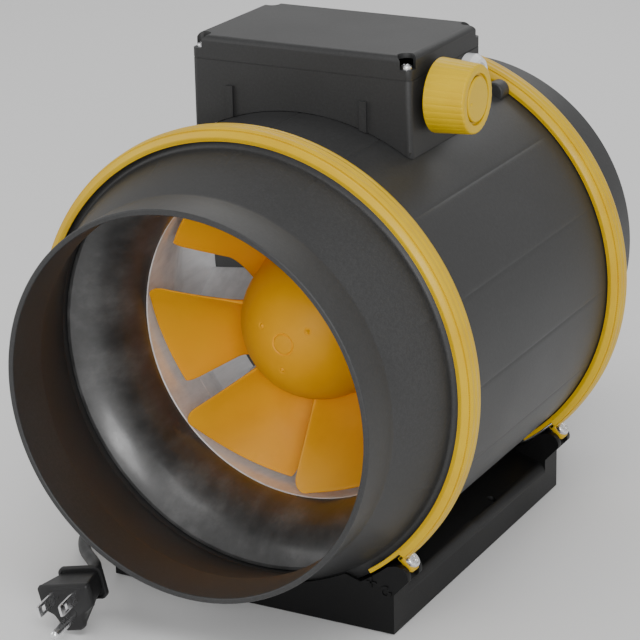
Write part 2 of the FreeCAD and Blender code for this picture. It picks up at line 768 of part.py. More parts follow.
def blade_blank(tip):
    """One blade standing along +Z, wide and flat at the tip, narrower and steeper at the root."""
    half_turn = d.blade_span.value / 2
    root = d.hub_radius.value * 0.72
    lead_root = d.throat_plane.value + 20.5
    lead_tip = d.throat_plane.value - 4
    trail_root = d.hub_rear.value - 1
    trail_tip = d.throat_plane.value + 23
    sections = []
    for share in (0, 0.35, 0.7, 1.12):
        height = root + (tip - root) * share
        reach = height * math.tan(math.radians(half_turn - 1.5 * (1 - share)))
        start = (reach, lead_root + (lead_tip - lead_root) * share)
        end = (-reach, trail_root + (trail_tip - trail_root) * share)
        camber = -(4.5 - 1.5 * share)
        sections.append(camber_section(start, end, camber, 3.4 - 1.0 * share, height))
    return Part.makeLoft(sections, True, False)


# ---------------------------------------------------------------- motor

def make_motor():
    """External-rotor motor inside the hub: can, magnets, shaft, stator, bearings and flange."""
    can = d.can_radius
    wall = d.can_wall
    front = d.can_front
    rear = d.hub_rear - 2
    shaft = d.shaft_radius
    boss = 9
    turned_ring("rotor_can", [
        (front - 2.5, boss), (front - 2.5, can - 4), (front, can - 0.02), (rear, can - 0.02),
        (rear, can - wall), (front + 2.5, can - wall), (front + 2.5, boss), (front + 5, boss),
        (front + 5, shaft), (front - 7, shaft), (front - 7, boss)])
    magnet = can - wall - 0.05
    stack_rear = d.stack_front + d.stack_length
    turned_ring("magnet_ring", rectangle(
        d.stack_front - 1, stack_rear + 1, magnet - d.magnet_wall, magnet))
    turned_ring("motor_shaft", [
        (front - 6.5, 0), (motor_plane + 10, 0), (motor_plane + 10, shaft - 0.6),
        (motor_plane + 9.4, shaft - d.running_gap), (motor_plane + 7.6, shaft - d.running_gap),
        (motor_plane + 7.6, shaft - 0.8), (motor_plane + 6.4, shaft - 0.8),
        (motor_plane + 6.4, shaft - d.running_gap), (front - 6.5, shaft - d.running_gap)])
    turned_ring("shaft_circlip", rectangle(
        motor_plane + 6.5, motor_plane + 7.5, shaft - 0.75, shaft + 2.2))
    tube = d.bearing_radius + 2.6
    for label, start in (("front_bearing", front + 6), ("rear_bearing", web_plane + 0.5 - d.bearing_width)):
        turned_ring(label, rectangle(start, start + d.bearing_width, shaft,
                                     d.bearing_radius - 0.02))
    turned_ring("motor_flange", [
        (front + 5.8, d.bearing_radius), (front + 5.8, tube), (motor_plane, tube),
        (motor_plane, d.flange_radius), (web_plane, d.flange_radius), (web_plane, 14),
        (web_plane + 2.5, 14), (web_plane + 2.5, 8), (web_plane + 0.5, 8),
        (web_plane + 0.5, d.bearing_radius)][::-1])
    cap = magnet - d.magnet_wall - d.air_gap
    core = new_body("stator_core")
    length = d.stack_length
    ring = new_sketch(core, "XZ_Plane", normal=-d.stack_front)
    draw_circle(ring, 0, 0, tube + 5)
    draw_circle(ring, 0, 0, tube + 0.1)
    push(core, ring, length, back=True)
    tooth = new_sketch(core, "XZ_Plane", normal=-d.stack_front)
    draw_loop(tooth, [(-2, tube + 4), (2, tube + 4), (2, cap - 2.4), (5.6, cap - 1.9), (5.6, cap - 0.6),
                      (-5.6, cap - 0.6), (-5.6, cap - 1.9), (-2, cap - 2.4)])
    pad = push(core, tooth, length, back=True)
    repeat(core, pad, d.slot_count)
    lift_to_axis(core)
    coils = new_body("stator_windings", many=True)
    flat = new_sketch(coils, "XY_Plane", normal=tube + 5.4)
    middle = d.stack_front + length / 2
    outer_half = length / 2 + 3.2
    inner_half = length / 2 + 0.2
    draw_loop(flat, rectangle(-4.2, 4.2, middle - outer_half, middle + outer_half))
    draw_loop(flat, rectangle(-2.2, 2.2, middle - inner_half, middle + inner_half))
    coil = push(coils, flat, cap - 3 - tube - 5.4)
    repeat(coils, coil, d.slot_count)
    lift_to_axis(coils)
    board_front = motor_plane - 2.6
    turned_ring("motor_circuit_board", rectangle(
        board_front, board_front + 1.6, tube + 0.3, d.can_radius - d.can_wall - 3))
    members = []
    for index in range(4):
        angle = 45 + 90 * index
        place = (MOTOR_SCREW_RADIUS * cosine(angle), web_plane + 3,
                 MOTOR_SCREW_RADIUS * sine(angle) + axis_height)
        members.append(pin("MotorScrew", screw_profile(5.5, 1.45, 2.8), place, (0, 1, 0)))
    group("motor_screws", members)


def cut_motor_screw_holes():
    """Tapped holes in the motor flange for the four screws."""
    body = [item for item in nodes if item.Label == "motor_flange"][0]
    holes = new_sketch(body, "XZ_Plane", normal=-(web_plane + 1))
    for index in range(4):
        angle = 45 + 90 * index
        draw_circle(holes, MOTOR_SCREW_RADIUS * cosine(angle), MOTOR_SCREW_RADIUS * sine(angle), 1.5)
    push(body, holes, 4.6, cut=True, back=True)


# ---------------------------------------------------------------- terminal box

def post_places():
    """Centres of the four lid screws, at the box's corners."""
    inset = 4.2
    return [(side * (box_half - inset), edge) for side in SIDES
            for edge in (box_front + inset, box_rear - inset)]


def make_box():
    """The terminal box: saddled on the casing, with posts, two ribs and the control openings."""
    body = new_body("terminal_box", many=True)
    wall = d.box_wall
    low = axis_height + d.casing_radius * 0.6
    outer = new_sketch(body, "XY_Plane", normal=low)
    draw_loop(outer, *rounded_rectangle(-box_half, box_half, box_front, box_rear, d.lid_round))
    push(body, outer, seam - 0.3 - low)
    hollow = new_sketch(body, "XY_Plane", normal=low - 1)
    draw_loop(hollow, rectangle(wall - box_half, box_half - wall, box_front + wall, box_rear - wall))
    push(body, hollow, seam - low + 2, cut=True, back=True)
    posts = new_sketch(body, "XY_Plane", normal=seam - 0.3)
    for x, y in post_places():
        draw_circle(posts, x, y, d.post_radius - 0.9)
    push(body, posts, seam - low - 0.3, back=True)
    board_posts = new_sketch(body, "XY_Plane", normal=board_height())
    for x, y in BOARD_SCREWS:
        draw_circle(board_posts, x, y, 3.2)
    push(body, board_posts, 26, back=True)
    bosses = new_sketch(body, "XY_Plane", normal=box_screw_seat())
    for x, y in BOX_SCREWS:
        draw_circle(bosses, x, y, 4.2)
    push(body, bosses, 12, back=True)
    ribs = new_sketch(body, "XZ_Plane", normal=-box_front)
    for centre in (-40, 36):
        draw_loop(ribs, rectangle(centre - 2, centre + 2, low, seam - 12.5))
    push(body, ribs, 1.5)
    angle_value = 2 * math.degrees(math.asin((box_half.value - 0.3) / (floor_radius.value + wall.value)))
    angle = Size(angle_value, "2 * asin((%s - 0.3) / %s) / 1deg" % (
        box_half.text, (floor_radius + wall).text))
    saddle = new_sketch(body, "YZ_Plane", shift=axis_height)
    draw_loop(saddle, rectangle(box_front + 0.5, box_rear - 0.5, floor_radius - 1, floor_radius + wall))
    spin(body, saddle, angle)
    under = new_sketch(body, "YZ_Plane", shift=axis_height)
    draw_loop(under, rectangle(box_front - 5, box_rear + 5, 20, floor_radius))
    spin(body, under, cut=True)
    openings = new_sketch(body, "YZ_Plane", normal=box_half - wall - 2)
    draw_circle(openings, d.knob_shift, knob_height, 3.8)
    draw_circle(openings, side_cap_shift, knob_height + 0.8, 6.2)
    push(body, openings, wall + 8, cut=True, back=True)
    gland = new_sketch(body, "XZ_Plane", normal=-(box_rear + 4))
    draw_circle(gland, d.gland_shift, gland_height, 7.7)
    push(body, gland, wall + 6, cut=True, back=True)
    drill = new_sketch(body, "XY_Plane", normal=seam + 2)
    for x, y in post_places():
        draw_circle(drill, x, y, 1.35)
    push(body, drill, 14, cut=True)
    small = new_sketch(body, "XY_Plane", normal=seam)
    for x, y in BOX_SCREWS:
        draw_circle(small, x, y, 1.8)
    draw_circle(small, 0, lead_plane, 4)
    for x, y in BOARD_SCREWS:
        draw_circle(small, x, y, 1.25)
    push(body, small, seam - low, cut=True)


side_cap_shift = box_rear - 17
BOARD_SCREWS = [(-46, box_front + 26), (-46, box_rear - 22), (20, box_front + 18), (20, box_rear - 16)]


def board_height():
    return axis_height + floor_radius + d.box_wall + 3.5


def box_screw_seat():
    """Top of the bosses over the box's floor at the fixing screws."""
    outer = floor_radius + d.box_wall
    rise = Size(math.sqrt(outer.value ** 2 - 36 ** 2), "sqrt(%s ^ 2 - 36 ^ 2)" % outer.text)
    return axis_height + rise + 1


def make_lid():
    """The lid: rounded cap, hollow inside, with a notch at each corner for its screw."""
    body = new_body("box_lid")
    wall = d.box_wall
    bottom = seam + 0.3
    block = new_sketch(body, "XY_Plane", normal=bottom)
    draw_loop(block, rectangle(-box_half, box_half, box_front, box_rear))
    pad = push(body, block, box_top - bottom)
    doc.recompute()
    top_edges = []
    for index, edge in enumerate(pad.Shape.Edges, start=1):
        heights = [vertex.Z for vertex in edge.Vertexes]
        if min(heights) > box_top.value - 0.01 or max(heights) - min(heights) > 5:
            top_edges.append("Edge%d" % index)
    rounding = body.newObject("PartDesign::Fillet", "Rounding")
    rounding.Base = (pad, top_edges)
    bind(rounding, "Radius", d.lid_round)
    body.Tip = rounding
    hollow = new_sketch(body, "XY_Plane", normal=bottom)
    draw_loop(hollow, rectangle(wall - box_half, box_half - wall, box_front + wall, box_rear - wall))
    push(body, hollow, box_top - bottom - wall, cut=True, back=True)
    pillars = new_sketch(body, "XY_Plane", normal=bottom)
    for x, y in post_places():
        draw_circle(pillars, x, y, d.post_radius - 0.6)
    push(body, pillars, 5)
    notches = new_sketch(body, "XY_Plane", normal=bottom + 4.8)
    for x, y in post_places():
        draw_circle(notches, x, y, d.post_radius)
    push(body, notches, d.lid_height, cut=True, back=True)
    corners_off = new_sketch(body, "XY_Plane", normal=bottom + 4.8)
    for x, y in post_places():
        out_x = box_half + 1 if x.value > 0 else -box_half - 1
        out_y = box_rear + 1 if y.value > d.box_shift.value else box_front - 1
        draw_loop(corners_off, [(x, y), (out_x, y), (out_x, out_y), (x, out_y)])
    push(body, corners_off, d.lid_height, cut=True, back=True)
    floors = new_sketch(body, "XY_Plane", normal=bottom + 3)
    for x, y in post_places():
        draw_circle(floors, x, y, 4.15)
    push(body, floors, 1.8)
    drill = new_sketch(body, "XY_Plane", normal=bottom - 1)
    for x, y in post_places():
        draw_circle(drill, x, y, 1.75)
    push(body, drill, 8, cut=True, back=True)


def make_lid_screws():
    members = [pin("LidScrew", screw_profile(12, 1.33, 2.8), (x, y, seam + 5.1), (0, 0, 1))
               for x, y in post_places()]
    group("lid_screws", members)


def make_gasket():
    body = new_body("lid_gasket")
    sketch = new_sketch(body, "XY_Plane", normal=seam - 0.3)
    inner = d.box_wall - 0.2
    edge = 0.25
    draw_loop(sketch, *rounded_rectangle(edge - box_half, box_half - edge, box_front + edge, box_rear - edge,
                                         d.lid_round - edge))
    draw_loop(sketch, rectangle(inner - box_half, box_half - inner, box_front + inner, box_rear - inner))
    push(body, sketch, 0.6)


def make_electronics():
    """Control board with its terminal block, capacitors, choke, heat sink and screws."""
    height = board_height()
    board = new_body("control_board")
    sheet_sketch = new_sketch(board, "XY_Plane", normal=height)
    draw_loop(sheet_sketch, rectangle(-52, 28, box_front + 12, box_rear - 12))
    for x, y in BOARD_SCREWS:
        draw_circle(sheet_sketch, x, y, 1.7)
    draw_circle(sheet_sketch, 0, lead_plane, 4)
    push(board, sheet_sketch, 1.6)
    top = height + 1.6
    block_face = box_rear - 12.5
    block = new_body("terminal_block")
    base = new_sketch(block, "XY_Plane", normal=top)
    draw_loop(base, rectangle(-40, -10, block_face - 7.5, block_face))
    push(block, base, 9)
    slots = new_sketch(block, "XZ_Plane", normal=-block_face)
    for index in range(5):
        centre = -37 + 6 * index
        draw_loop(slots, rectangle(centre - 1.8, centre + 1.8, top + 1.5, top + 5))
    push(block, slots, 5, cut=True, back=True)
    cans = [pin("Capacitor", [(0, 0), (12, 0), (12, 5), (11, 6), (0, 6)], (x, y, top), (0, 0, 1))
            for x, y in ((-28, -10), (-13, -10))]
    group("smoothing_capacitors", cans)
    choke = new_body("line_choke")
    ring = new_sketch(choke, "XY_Plane", normal=top)
    draw_circle(ring, -30, box_rear - 31, 8)
    draw_circle(ring, -30, box_rear - 31, 4)
    push(choke, ring, 7)
    sink = new_body("heat_sink")
    foot = new_sketch(sink, "XY_Plane", normal=top)
    comb = [(4, -20)]
    for index in range(5):
        left = 4 + 2.6 * index
        comb += [(left, 0), (left + 1.3, 0), (left + 1.3, -17), (left + 2.6, -17)]
    comb[-2:] = [(15.7, -20)]
    draw_loop(foot, comb)
    push(sink, foot, 10)
    screws = [pin("BoardScrew", screw_profile(8, 1.2, 2.7), (x, y, top), (0, 0, 1))
              for x, y in BOARD_SCREWS]
    group("board_screws", screws)
    fixings = [pin("BoxScrew", screw_profile(7.6, 1.4, 3.2), (x, y, box_screw_seat()), (0, 0, 1))
               for x, y in BOX_SCREWS]
    group("box_screws", fixings)


def turned_across(label, corners, along, height):
    """A piece turned about a cross axis (+X) at a place on the box's side, from (x, radius) corners."""
    body = new_body(label)
    sketch = new_sketch(body, "XY_Plane")
    draw_loop(sketch, corners)
    spin(body, sketch)
    bind(body, "Placement.Base.y", along)
    bind(body, "Placement.Base.z", height)
    return body


def make_knob():
    """Speed knob on the potentiometer's shaft, with its cap, nut and the side's closing cap."""
    wall_face = box_half
    root = wall_face + d.knob_stand_off
    face = root + d.knob_length
    shaft = d.pot_shaft_radius
    rise = knob_height
    fit = 0.02
    turned_across("speed_potentiometer", [
        (wall_face - 15, shaft + 0.05), (wall_face + 4.6, shaft + 0.05), (wall_face + 4.6, 3.7),
        (wall_face - d.box_wall - 0.1, 3.7), (wall_face - d.box_wall - 0.1, d.pot_radius),
        (wall_face - 15, d.pot_radius)], d.knob_shift, rise)
    turned_across("potentiometer_nut", [
        (wall_face + 0.1, 3.72), (wall_face + 0.1, 6.6), (wall_face + 2.2, 6.6), (wall_face + 2.8, 6),
        (wall_face + 2.8, 3.72)], d.knob_shift, rise)
    turned_across("potentiometer_shaft", [
        (wall_face - 14, 0), (face - 4.5, 0), (face - 4.5, shaft - 0.4), (face - 4.9, shaft),
        (wall_face - 14, shaft)], d.knob_shift, rise)
    turned_across("speed_knob", [
        (root, d.knob_radius - 0.6), (root + 0.6, d.knob_radius), (face - 1.2, d.knob_face_radius),
        (face, d.knob_face_radius - 1.2), (face, 13), (face - 1.6, 13), (face - 1.6, 12.4),
        (face - 1.2, 12.4), (face - 1.2, 0), (face - 4.3, 0), (face - 4.3, shaft + fit),
        (root + 3, shaft + fit), (root + 3, 9.5), (root, 9.5)], d.knob_shift, rise)
    turned_across("knob_cap", [
        (face - 1.18, 0), (face - 1.18, 11.6), (face - 0.2, 11.6), (face + 0.2, 11.2),
        (face + 0.2, 0)], d.knob_shift, rise)
    turned_across("side_cap", [
        (wall_face - d.box_wall - 2, 5), (wall_face - d.box_wall - 2, 6), (wall_face + 0.1, 6),
        (wall_face + 0.1, 10.6), (wall_face + 5, 10.6), (wall_face + 8, 8.4), (wall_face + 8, 6.4),
        (wall_face + 3, 6.4), (wall_face + 3, 0), (wall_face - d.box_wall + 1, 0),
        (wall_face - d.box_wall + 1, 5)], side_cap_shift, rise + 0.8)


def make_gland():
    """Cable gland in the box's rear wall: body, nut inside, domed nut and strain relief."""
    face = box_rear
    outer = d.gland_radius
    hole = d.cord_radius + 0.1
    for label, corners in (
        ("gland_body", [(face - 8, hole), (face - 8, 7.5), (face + 0.05, 7.5), (face + 0.05, outer),
                        (face + 4.5, outer), (face + 4.5, hole)]),
        ("gland_lock_nut", [(face - 7, 7.55), (face - 7, outer - 0.5), (face - d.box_wall - 0.1, outer - 0.5),
                            (face - d.box_wall - 0.1, 7.55)]),
        ("gland_cap_nut", [(face + 4.6, 5.4), (face + 4.6, outer), (face + 12, outer),
                           (face + 15, outer - 2.6), (face + 15, 5.4)]),
        ("strain_relief", [(face + 4.6, 0), (face + 4.6, 5.3), (face + 15.5, 5.3), (face + GLAND_REACH, 4),
                           (face + GLAND_REACH, 0)]),
    ):
        body = new_body(label)
        sketch = new_sketch(body, "YZ_Plane")
        draw_loop(sketch, corners)
        spin(body, sketch)
        bind(body, "Placement.Base.x", d.gland_shift)
        bind(body, "Placement.Base.z", gland_height)


GLAND_REACH = 36

# ---------------------------------------------------------------- mains lead

# The lead hangs from the gland over the rear band, down the left flank, onto the coil behind
# the foot, and from the coil along the floor on the left to the plug at the front.
HANGING_ROUTE = [(-45, 78, 256), (-46.5, 100, 254), (-54, 119, 244.5), (-66.5, 129, 229),
                 (-80.5, 130.5, 211.5), (-94, 131.5, 194), (-106.5, 131, 175), (-115, 129.5, 154.5),
                 (-120.5, 128, 132.5), (-123, 126, 110.5), (-124.5, 124, 88), (-124.5, 122.5, 65.5),
                 (-121.5, 123, 43.5), (-109.5, 123.5, 24.5), (-89.5, 123.5, 14.5),
                 (-67.5, 125.5, 12.5), (-45.5, 127.5, 12)]
FLOOR_ROUTE = [
    (-86.5, 168, 4.6), (-88, 150, 4.1), (-94.5, 121, 3.4), (-107, 83, 3.5), (-119.5, 34, 3.4), (-126.5, -14, 3.5),
    (-125, -52, 3.9), (-115.5, -82, 6), (-101, -104, 9.8), (-87, -119, 14), (-75.5, -131, 17.2),
    (-69.3, -141.5, 18.1)]
COIL_CENTRE = (-45, 168)
COIL_INNER = 31
COIL_OUTER = 45
COIL_HEIGHT = 14
PLUG_AXIS = (0.11, -0.993, -0.048)
PLUG_ROLL = 11.7
PLUG_FACE = 33.5
COIL_BASE = 1.3


def arc_path(route):
    """Straight runs joined by tangent arcs as large as their runs allow; returns wire and radii."""
    points = [FreeCAD.Vector(*place) for place in route]
    edges = []
    radii = []
    here = points[0]
    for before, corner, after in zip(points, points[1:], points[2:]):
        to_corner = corner - before
        onward = after - corner
        shorter = min(to_corner.Length, onward.Length)
        to_corner.normalize()
        onward.normalize()
        half_turn = to_corner.getAngle(onward) / 2
        cut = 0.45 * shorter
        radius = cut / math.tan(half_turn)
        radii.append(radius)
        start = corner - to_corner * cut
        stop = corner + onward * cut
        inward = (onward - to_corner).normalize()
        middle = corner + inward * (radius / math.cos(half_turn) - radius)
        edges.append(Part.LineSegment(here, start).toShape())
        edges.append(Part.Arc(start, middle, stop).toShape())
        here = stop
    edges.append(Part.LineSegment(here, points[-1]).toShape())
    return Part.Wire(edges), radii


def make_lead(label, route):
    wire, radii = arc_path(route)
    start = FreeCAD.Vector(*route[0])
    way = (FreeCAD.Vector(*route[1]) - start).normalize()
    ring = Part.Wire(Part.makeCircle(d.cord_radius.value, start, way))
    tube = wire.makePipeShell([ring], True, True)
    if tube.Volume < 0:
        tube.reverse()
    section = math.pi * d.cord_radius.value ** 2
    print("%s: length %.1f mm, volume/section %.1f mm, least arc %.1f mm" % (
        label, wire.Length, tube.Volume / section, min(radii)))
    print("  arcs: " + ", ".join("%.0f" % radius for radius in radii))
    from_shape(label, tube)
    return wire.Length


def make_coil():
    body = new_body("cord_coil")
    sketch = new_sketch(body, "XY_Plane", normal=COIL_BASE)
    draw_circle(sketch, *COIL_CENTRE, COIL_OUTER)
    draw_circle(sketch, *COIL_CENTRE, COIL_INNER)
    push(body, sketch, COIL_HEIGHT)
    tie = new_body("cord_tie")
    loop = new_sketch(tie, "XY_Plane")
    middle = (COIL_INNER + COIL_OUTER) / 2
    half = (COIL_OUTER - COIL_INNER) / 2 + 0.2
    top = COIL_BASE + COIL_HEIGHT + 0.1
    draw_loop(loop, rectangle(-half - 1.2, half + 1.2, 0, top + 1.2))
    draw_loop(loop, rectangle(-half, half, COIL_BASE - 0.1, top))
    push(tie, loop, 7, both=True)
    tie.Placement.Rotation = FreeCAD.Rotation(FreeCAD.Vector(1, 0, 0), 90)
    bind(tie, "Placement.Base.x", COIL_CENTRE[0] + middle)
    bind(tie, "Placement.Base.y", COIL_CENTRE[1])


def make_plug():
    """Three-pin plug: wedge-shaped body with a flange, two flat blades and a round earth pin."""
    tail = FreeCAD.Vector(*FLOOR_ROUTE[-1])
    axis = FreeCAD.Vector(*PLUG_AXIS).normalize()
    level = FreeCAD.Vector(-axis.y, axis.x, 0).normalize()
    across = FreeCAD.Rotation(axis, PLUG_ROLL).multVec(level)
    up = axis.cross(across)
    frame = FreeCAD.Placement(tail, FreeCAD.Rotation(across, up, axis, "XYZ"))

    def slab(outline, start, length, far_outline=None):
        """An outline across the plug, carried forward to its far end."""
        wires = []
        for reach, places in ((start, outline), (start + length, far_outline or outline)):
            points = [FreeCAD.Vector(u, v, reach) for u, v in places]
            wires.append(Part.makePolygon(points + points[:1]))
        return Part.makeLoft(wires, True, True)

    def even(half):
        """Both sides of an outline whose right half is given from the top down."""
        return half + [(-u, v) for u, v in half[::-1]]

    face = even([(15.2, 10.5), (15.2, -2), (9.5, -6.5), (7.3, -10), (7, -13), (4.5, -15.5)])
    back = even([(10.5, 8.5), (10.5, -1), (8.5, -3), (7.2, -4.5), (6.5, -5.8), (4.5, -7)])
    rim = even([(12.5, 11), (12.5, -5), (10.5, -7)])
    circle = [(math.cos(step * math.pi / 6), math.sin(step * math.pi / 6)) for step in range(12)]
    relief = [(5.2 * u, 5.2 * v) for u, v in circle]
    face_at = PLUG_FACE
    body = slab(relief, 0, 12.5).fuse([slab(rim, 11, 3.5), slab(back, 14, face_at - 14, face)])
    blades = []
    for centre in (-6.35, 6.35):
        outline = [(centre - 0.75, 1), (centre + 0.75, 1), (centre + 0.75, 7.2), (centre - 0.75, 7.2)]
        blades.append(slab(outline, face_at - 6, 22))
    earth = [(2.4 * u, 2.4 * v - 8) for u, v in circle]
    earth_pin = slab(earth, face_at - 6, 25)
    body = body.cut(blades[0]).cut(blades[1]).cut(earth_pin)
    for label, solid in (("plug_body", body.removeSplitter()), ("plug_blades", Part.Compound(blades)),
                         ("plug_earth_pin", earth_pin)):
        item = from_shape(label, solid)
        item.Placement = frame


def make_motor_lead():
    """The motor's own lead, straight up its duct from the hub into the box."""
    low = d.hub_rear_radius - 10
    body = new_body("motor_lead")
    sketch = new_sketch(body, "XY_Plane", shift=lead_plane, normal=axis_height + low)
    draw_circle(sketch, 0, 0, 2.6)
    push(body, sketch, board_height() + 1.6 + 5 - axis_height - low)
    plug = new_body("motor_connector")
    block = new_sketch(plug, "XY_Plane", shift=lead_plane, normal=axis_height + low)
    draw_loop(block, rectangle(-6, 6, -5, 5))
    push(plug, block, 9, back=True)


make_middle_casing()
turned_ring("inlet_spigot", spigot_corners(-1))
turned_ring("outlet_spigot", spigot_corners(1))
make_seals()
make_clamp_band("inlet_clamp_band", -1)
make_clamp_band("outlet_clamp_band", 1)
make_clamp_screws()
make_foot()
make_nozzle()
make_shroud()
make_guide_vanes()
make_tail()
make_impeller()
make_motor()
cut_motor_screw_holes()
make_box()
make_lid()
make_lid_screws()
make_gasket()
make_electronics()
make_knob()
make_gland()
make_lead("cord_hanging", HANGING_ROUTE)
make_lead("cord_floor", FLOOR_ROUTE)
make_coil()
make_plug()
make_motor_lead()

doc.recompute()
faults = [item.Label for item in doc.Objects if "Invalid" in item.State or "Error" in item.State]
for item in nodes:
    if item.Shape.isNull() or not item.Shape.isValid() or item.Shape.Volume <= 0:
        faults.append(item.Label)
if faults:
    raise RuntimeError("these did not build: " + ", ".join(faults))

os.makedirs("parts", exist_ok=True)
for item in nodes:
    item.Shape.exportStep(os.path.join("parts", item.Label + ".step"))
print("%d nodes written" % len(nodes))
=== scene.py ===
import json
import math

import bmesh
import bpy
import numpy as np
from mathutils import Matrix, Vector


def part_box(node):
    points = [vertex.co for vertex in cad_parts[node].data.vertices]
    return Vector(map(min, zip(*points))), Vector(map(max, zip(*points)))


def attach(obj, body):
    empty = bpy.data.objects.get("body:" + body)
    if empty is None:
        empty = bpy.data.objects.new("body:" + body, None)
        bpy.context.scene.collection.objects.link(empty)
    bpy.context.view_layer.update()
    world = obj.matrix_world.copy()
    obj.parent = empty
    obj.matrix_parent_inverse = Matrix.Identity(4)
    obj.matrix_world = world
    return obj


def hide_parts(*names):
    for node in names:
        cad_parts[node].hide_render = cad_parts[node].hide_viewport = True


# Inline duct fan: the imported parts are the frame, and the pieces below are their finished surfaces.
# Sizes are in millimetres until a mesh is made; +Y runs along the duct, +X is the knob's side.

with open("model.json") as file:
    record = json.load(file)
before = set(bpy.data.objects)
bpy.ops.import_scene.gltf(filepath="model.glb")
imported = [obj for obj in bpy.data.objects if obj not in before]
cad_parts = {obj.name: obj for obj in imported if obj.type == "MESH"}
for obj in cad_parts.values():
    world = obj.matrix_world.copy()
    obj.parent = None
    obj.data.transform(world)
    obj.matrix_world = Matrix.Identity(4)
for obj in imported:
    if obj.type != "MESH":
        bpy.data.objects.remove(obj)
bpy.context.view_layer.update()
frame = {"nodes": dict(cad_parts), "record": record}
nodes = frame["nodes"]
mm = 0.001
casingBody = "casing_assembly"
rotorBody = "rotor_assembly"
knobBody = "knob_assembly"


def span(node, axis):
    # lowest and highest value of a node along one axis, in millimetres
    low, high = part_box(node)
    return low[axis] / mm, high[axis] / mm


axisHeight = sum(span("motor_shaft", 2)) / 2
print("frame loaded, duct axis at", round(axisHeight, 2), "mm")


# ---- meshes from grids of points

def unit(rows):
    # every row divided by its own length
    return rows / np.maximum(np.linalg.norm(rows, axis=-1, keepdims=True), 1e-12)


def smoothStep(low, high, value):
    # 0 below low, 1 above high, and 3t^2 - 2t^3 between
    t = np.clip((value - low) / (high - low), 0, 1)
    return t * t * (3 - 2 * t)


def gridFaces(rows, columns, wrapRows, wrapColumns):
    # quads between neighbours of a rows x columns grid, joined round where it wraps
    i = np.arange(rows if wrapRows else rows - 1)[:, None]
    j = np.arange(columns if wrapColumns else columns - 1)[None, :]
    nextI = (i + 1) % rows
    nextJ = (j + 1) % columns
    corners = [i * columns + j, nextI * columns + j, nextI * columns + nextJ, i * columns + nextJ]
    return np.stack(corners, -1).reshape(-1, 4)


def gridPart(points, wrapRows=False, wrapColumns=False, capped=False):
    # a grid of points as vertices, quads, flat ends where wanted, and (along, round) map places
    rows, columns = points.shape[:2]
    v = points.reshape(-1, 3)
    quads = gridFaces(rows, columns, wrapRows, wrapColumns)
    ends = []
    if capped:
        ends = [np.arange(columns)[::-1], (rows - 1) * columns + np.arange(columns)]
    a, b, c, e = (v[quads[:, k]] for k in range(4))
    volume = np.einsum("ij,ij->i", a, np.cross(b, c) + np.cross(c, e)).sum()
    for loop in ends:
        fan = v[loop]
        volume += (np.cross(fan[1:-1], fan[2:]) @ fan[0]).sum()
    if volume < 0:
        quads = quads[:, ::-1]
        ends = [loop[::-1] for loop in ends]
    u = np.repeat(np.arange(rows) / max(rows - 1, 1), columns)
    w = np.tile(np.arange(columns) / max(columns - 1, 1), rows)
    return v, quads, ends, np.stack([u, w], -1)


def makePiece(name, parts, body, replaced, slot, sharp=35):
    # one object from several grid parts, in the finish of its slot; doubles at poles are merged
    vertices = np.vstack([part[0] for part in parts]) * mm
    loops = []
    counts = []
    start = 0
    for v, quads, ends, places in parts:
        loops.append((quads + start).ravel())
        counts.append(np.full(len(quads), 4))
        for end in ends:
            loops.append(end + start)
            counts.append(np.array([len(end)]))
        start += len(v)
    loops = np.concatenate(loops).astype(np.int32)
    counts = np.concatenate(counts).astype(np.int32)
    mesh = bpy.data.meshes.new(name)
    mesh.vertices.add(len(vertices))
    mesh.vertices.foreach_set("co", vertices.astype(np.float32).ravel())
    mesh.loops.add(len(loops))
    mesh.loops.foreach_set("vertex_index", loops)
    mesh.polygons.add(len(counts))
    first = np.concatenate([[0], np.cumsum(counts)[:-1]])
    mesh.polygons.foreach_set("loop_start", first.astype(np.int32))
    mesh.polygons.foreach_set("use_smooth", np.ones(len(counts), bool))
    places = np.vstack([part[3] for part in parts])
    layer = mesh.uv_layers.new(name="along")
    layer.data.foreach_set("uv", places[loops].astype(np.float32).ravel())
    mesh.update(calc_edges=True)
    mesh.validate()
    work = bmesh.new()
    work.from_mesh(mesh)
    bmesh.ops.remove_doubles(work, verts=work.verts, dist=2e-6)
    work.to_mesh(mesh)
    work.free()
    mesh.set_sharp_from_angle(angle=math.radians(sharp))
    piece = bpy.data.objects.new(name, mesh)
    bpy.context.scene.collection.objects.link(piece)
    mesh.materials.append(slotFinish[slot])
    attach(piece, body)
    if replaced:
        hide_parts(*replaced)
    return piece


def sweep(first, last, turn, share):
    # directions between two, turned evenly: (sin((1 - t) a) first + sin(t a) last) / sin(a)
    return (np.sin((1 - share) * turn) * first + np.sin(share * turn) * last) / math.sin(turn)


def roundedLoop(corners, steps=7):
    # closed outline from (a, b, radius) corners, each rounded by an arc of its own radius
    corner = np.array([c[:2] for c in corners], float)
    radius = np.array([c[2] for c in corners], float)
    back = unit(np.roll(corner, 1, 0) - corner)
    on = unit(np.roll(corner, -1, 0) - corner)
    half = np.arccos(np.clip((back * on).sum(1), -1, 1)) / 2
    reach = np.minimum(np.linalg.norm(np.roll(corner, 1, 0) - corner, axis=1),
                       np.linalg.norm(np.roll(corner, -1, 0) - corner, axis=1)) * 0.48
    cut = np.minimum(radius / np.maximum(np.tan(half), 1e-6), reach)
    rows = []
    for k in range(len(corner)):
        if radius[k] <= 0:
            rows.append(corner[k:k + 1])
            continue
        centre = corner[k] + unit((back[k] + on[k])[None])[0] * cut[k] / math.cos(half[k])
        first = corner[k] + back[k] * cut[k] - centre
        last = corner[k] + on[k] * cut[k] - centre
        share = np.linspace(0, 1, steps)[:, None]
        rows.append(centre + sweep(first, last, math.pi - 2 * half[k], share))
    return np.vstack(rows)


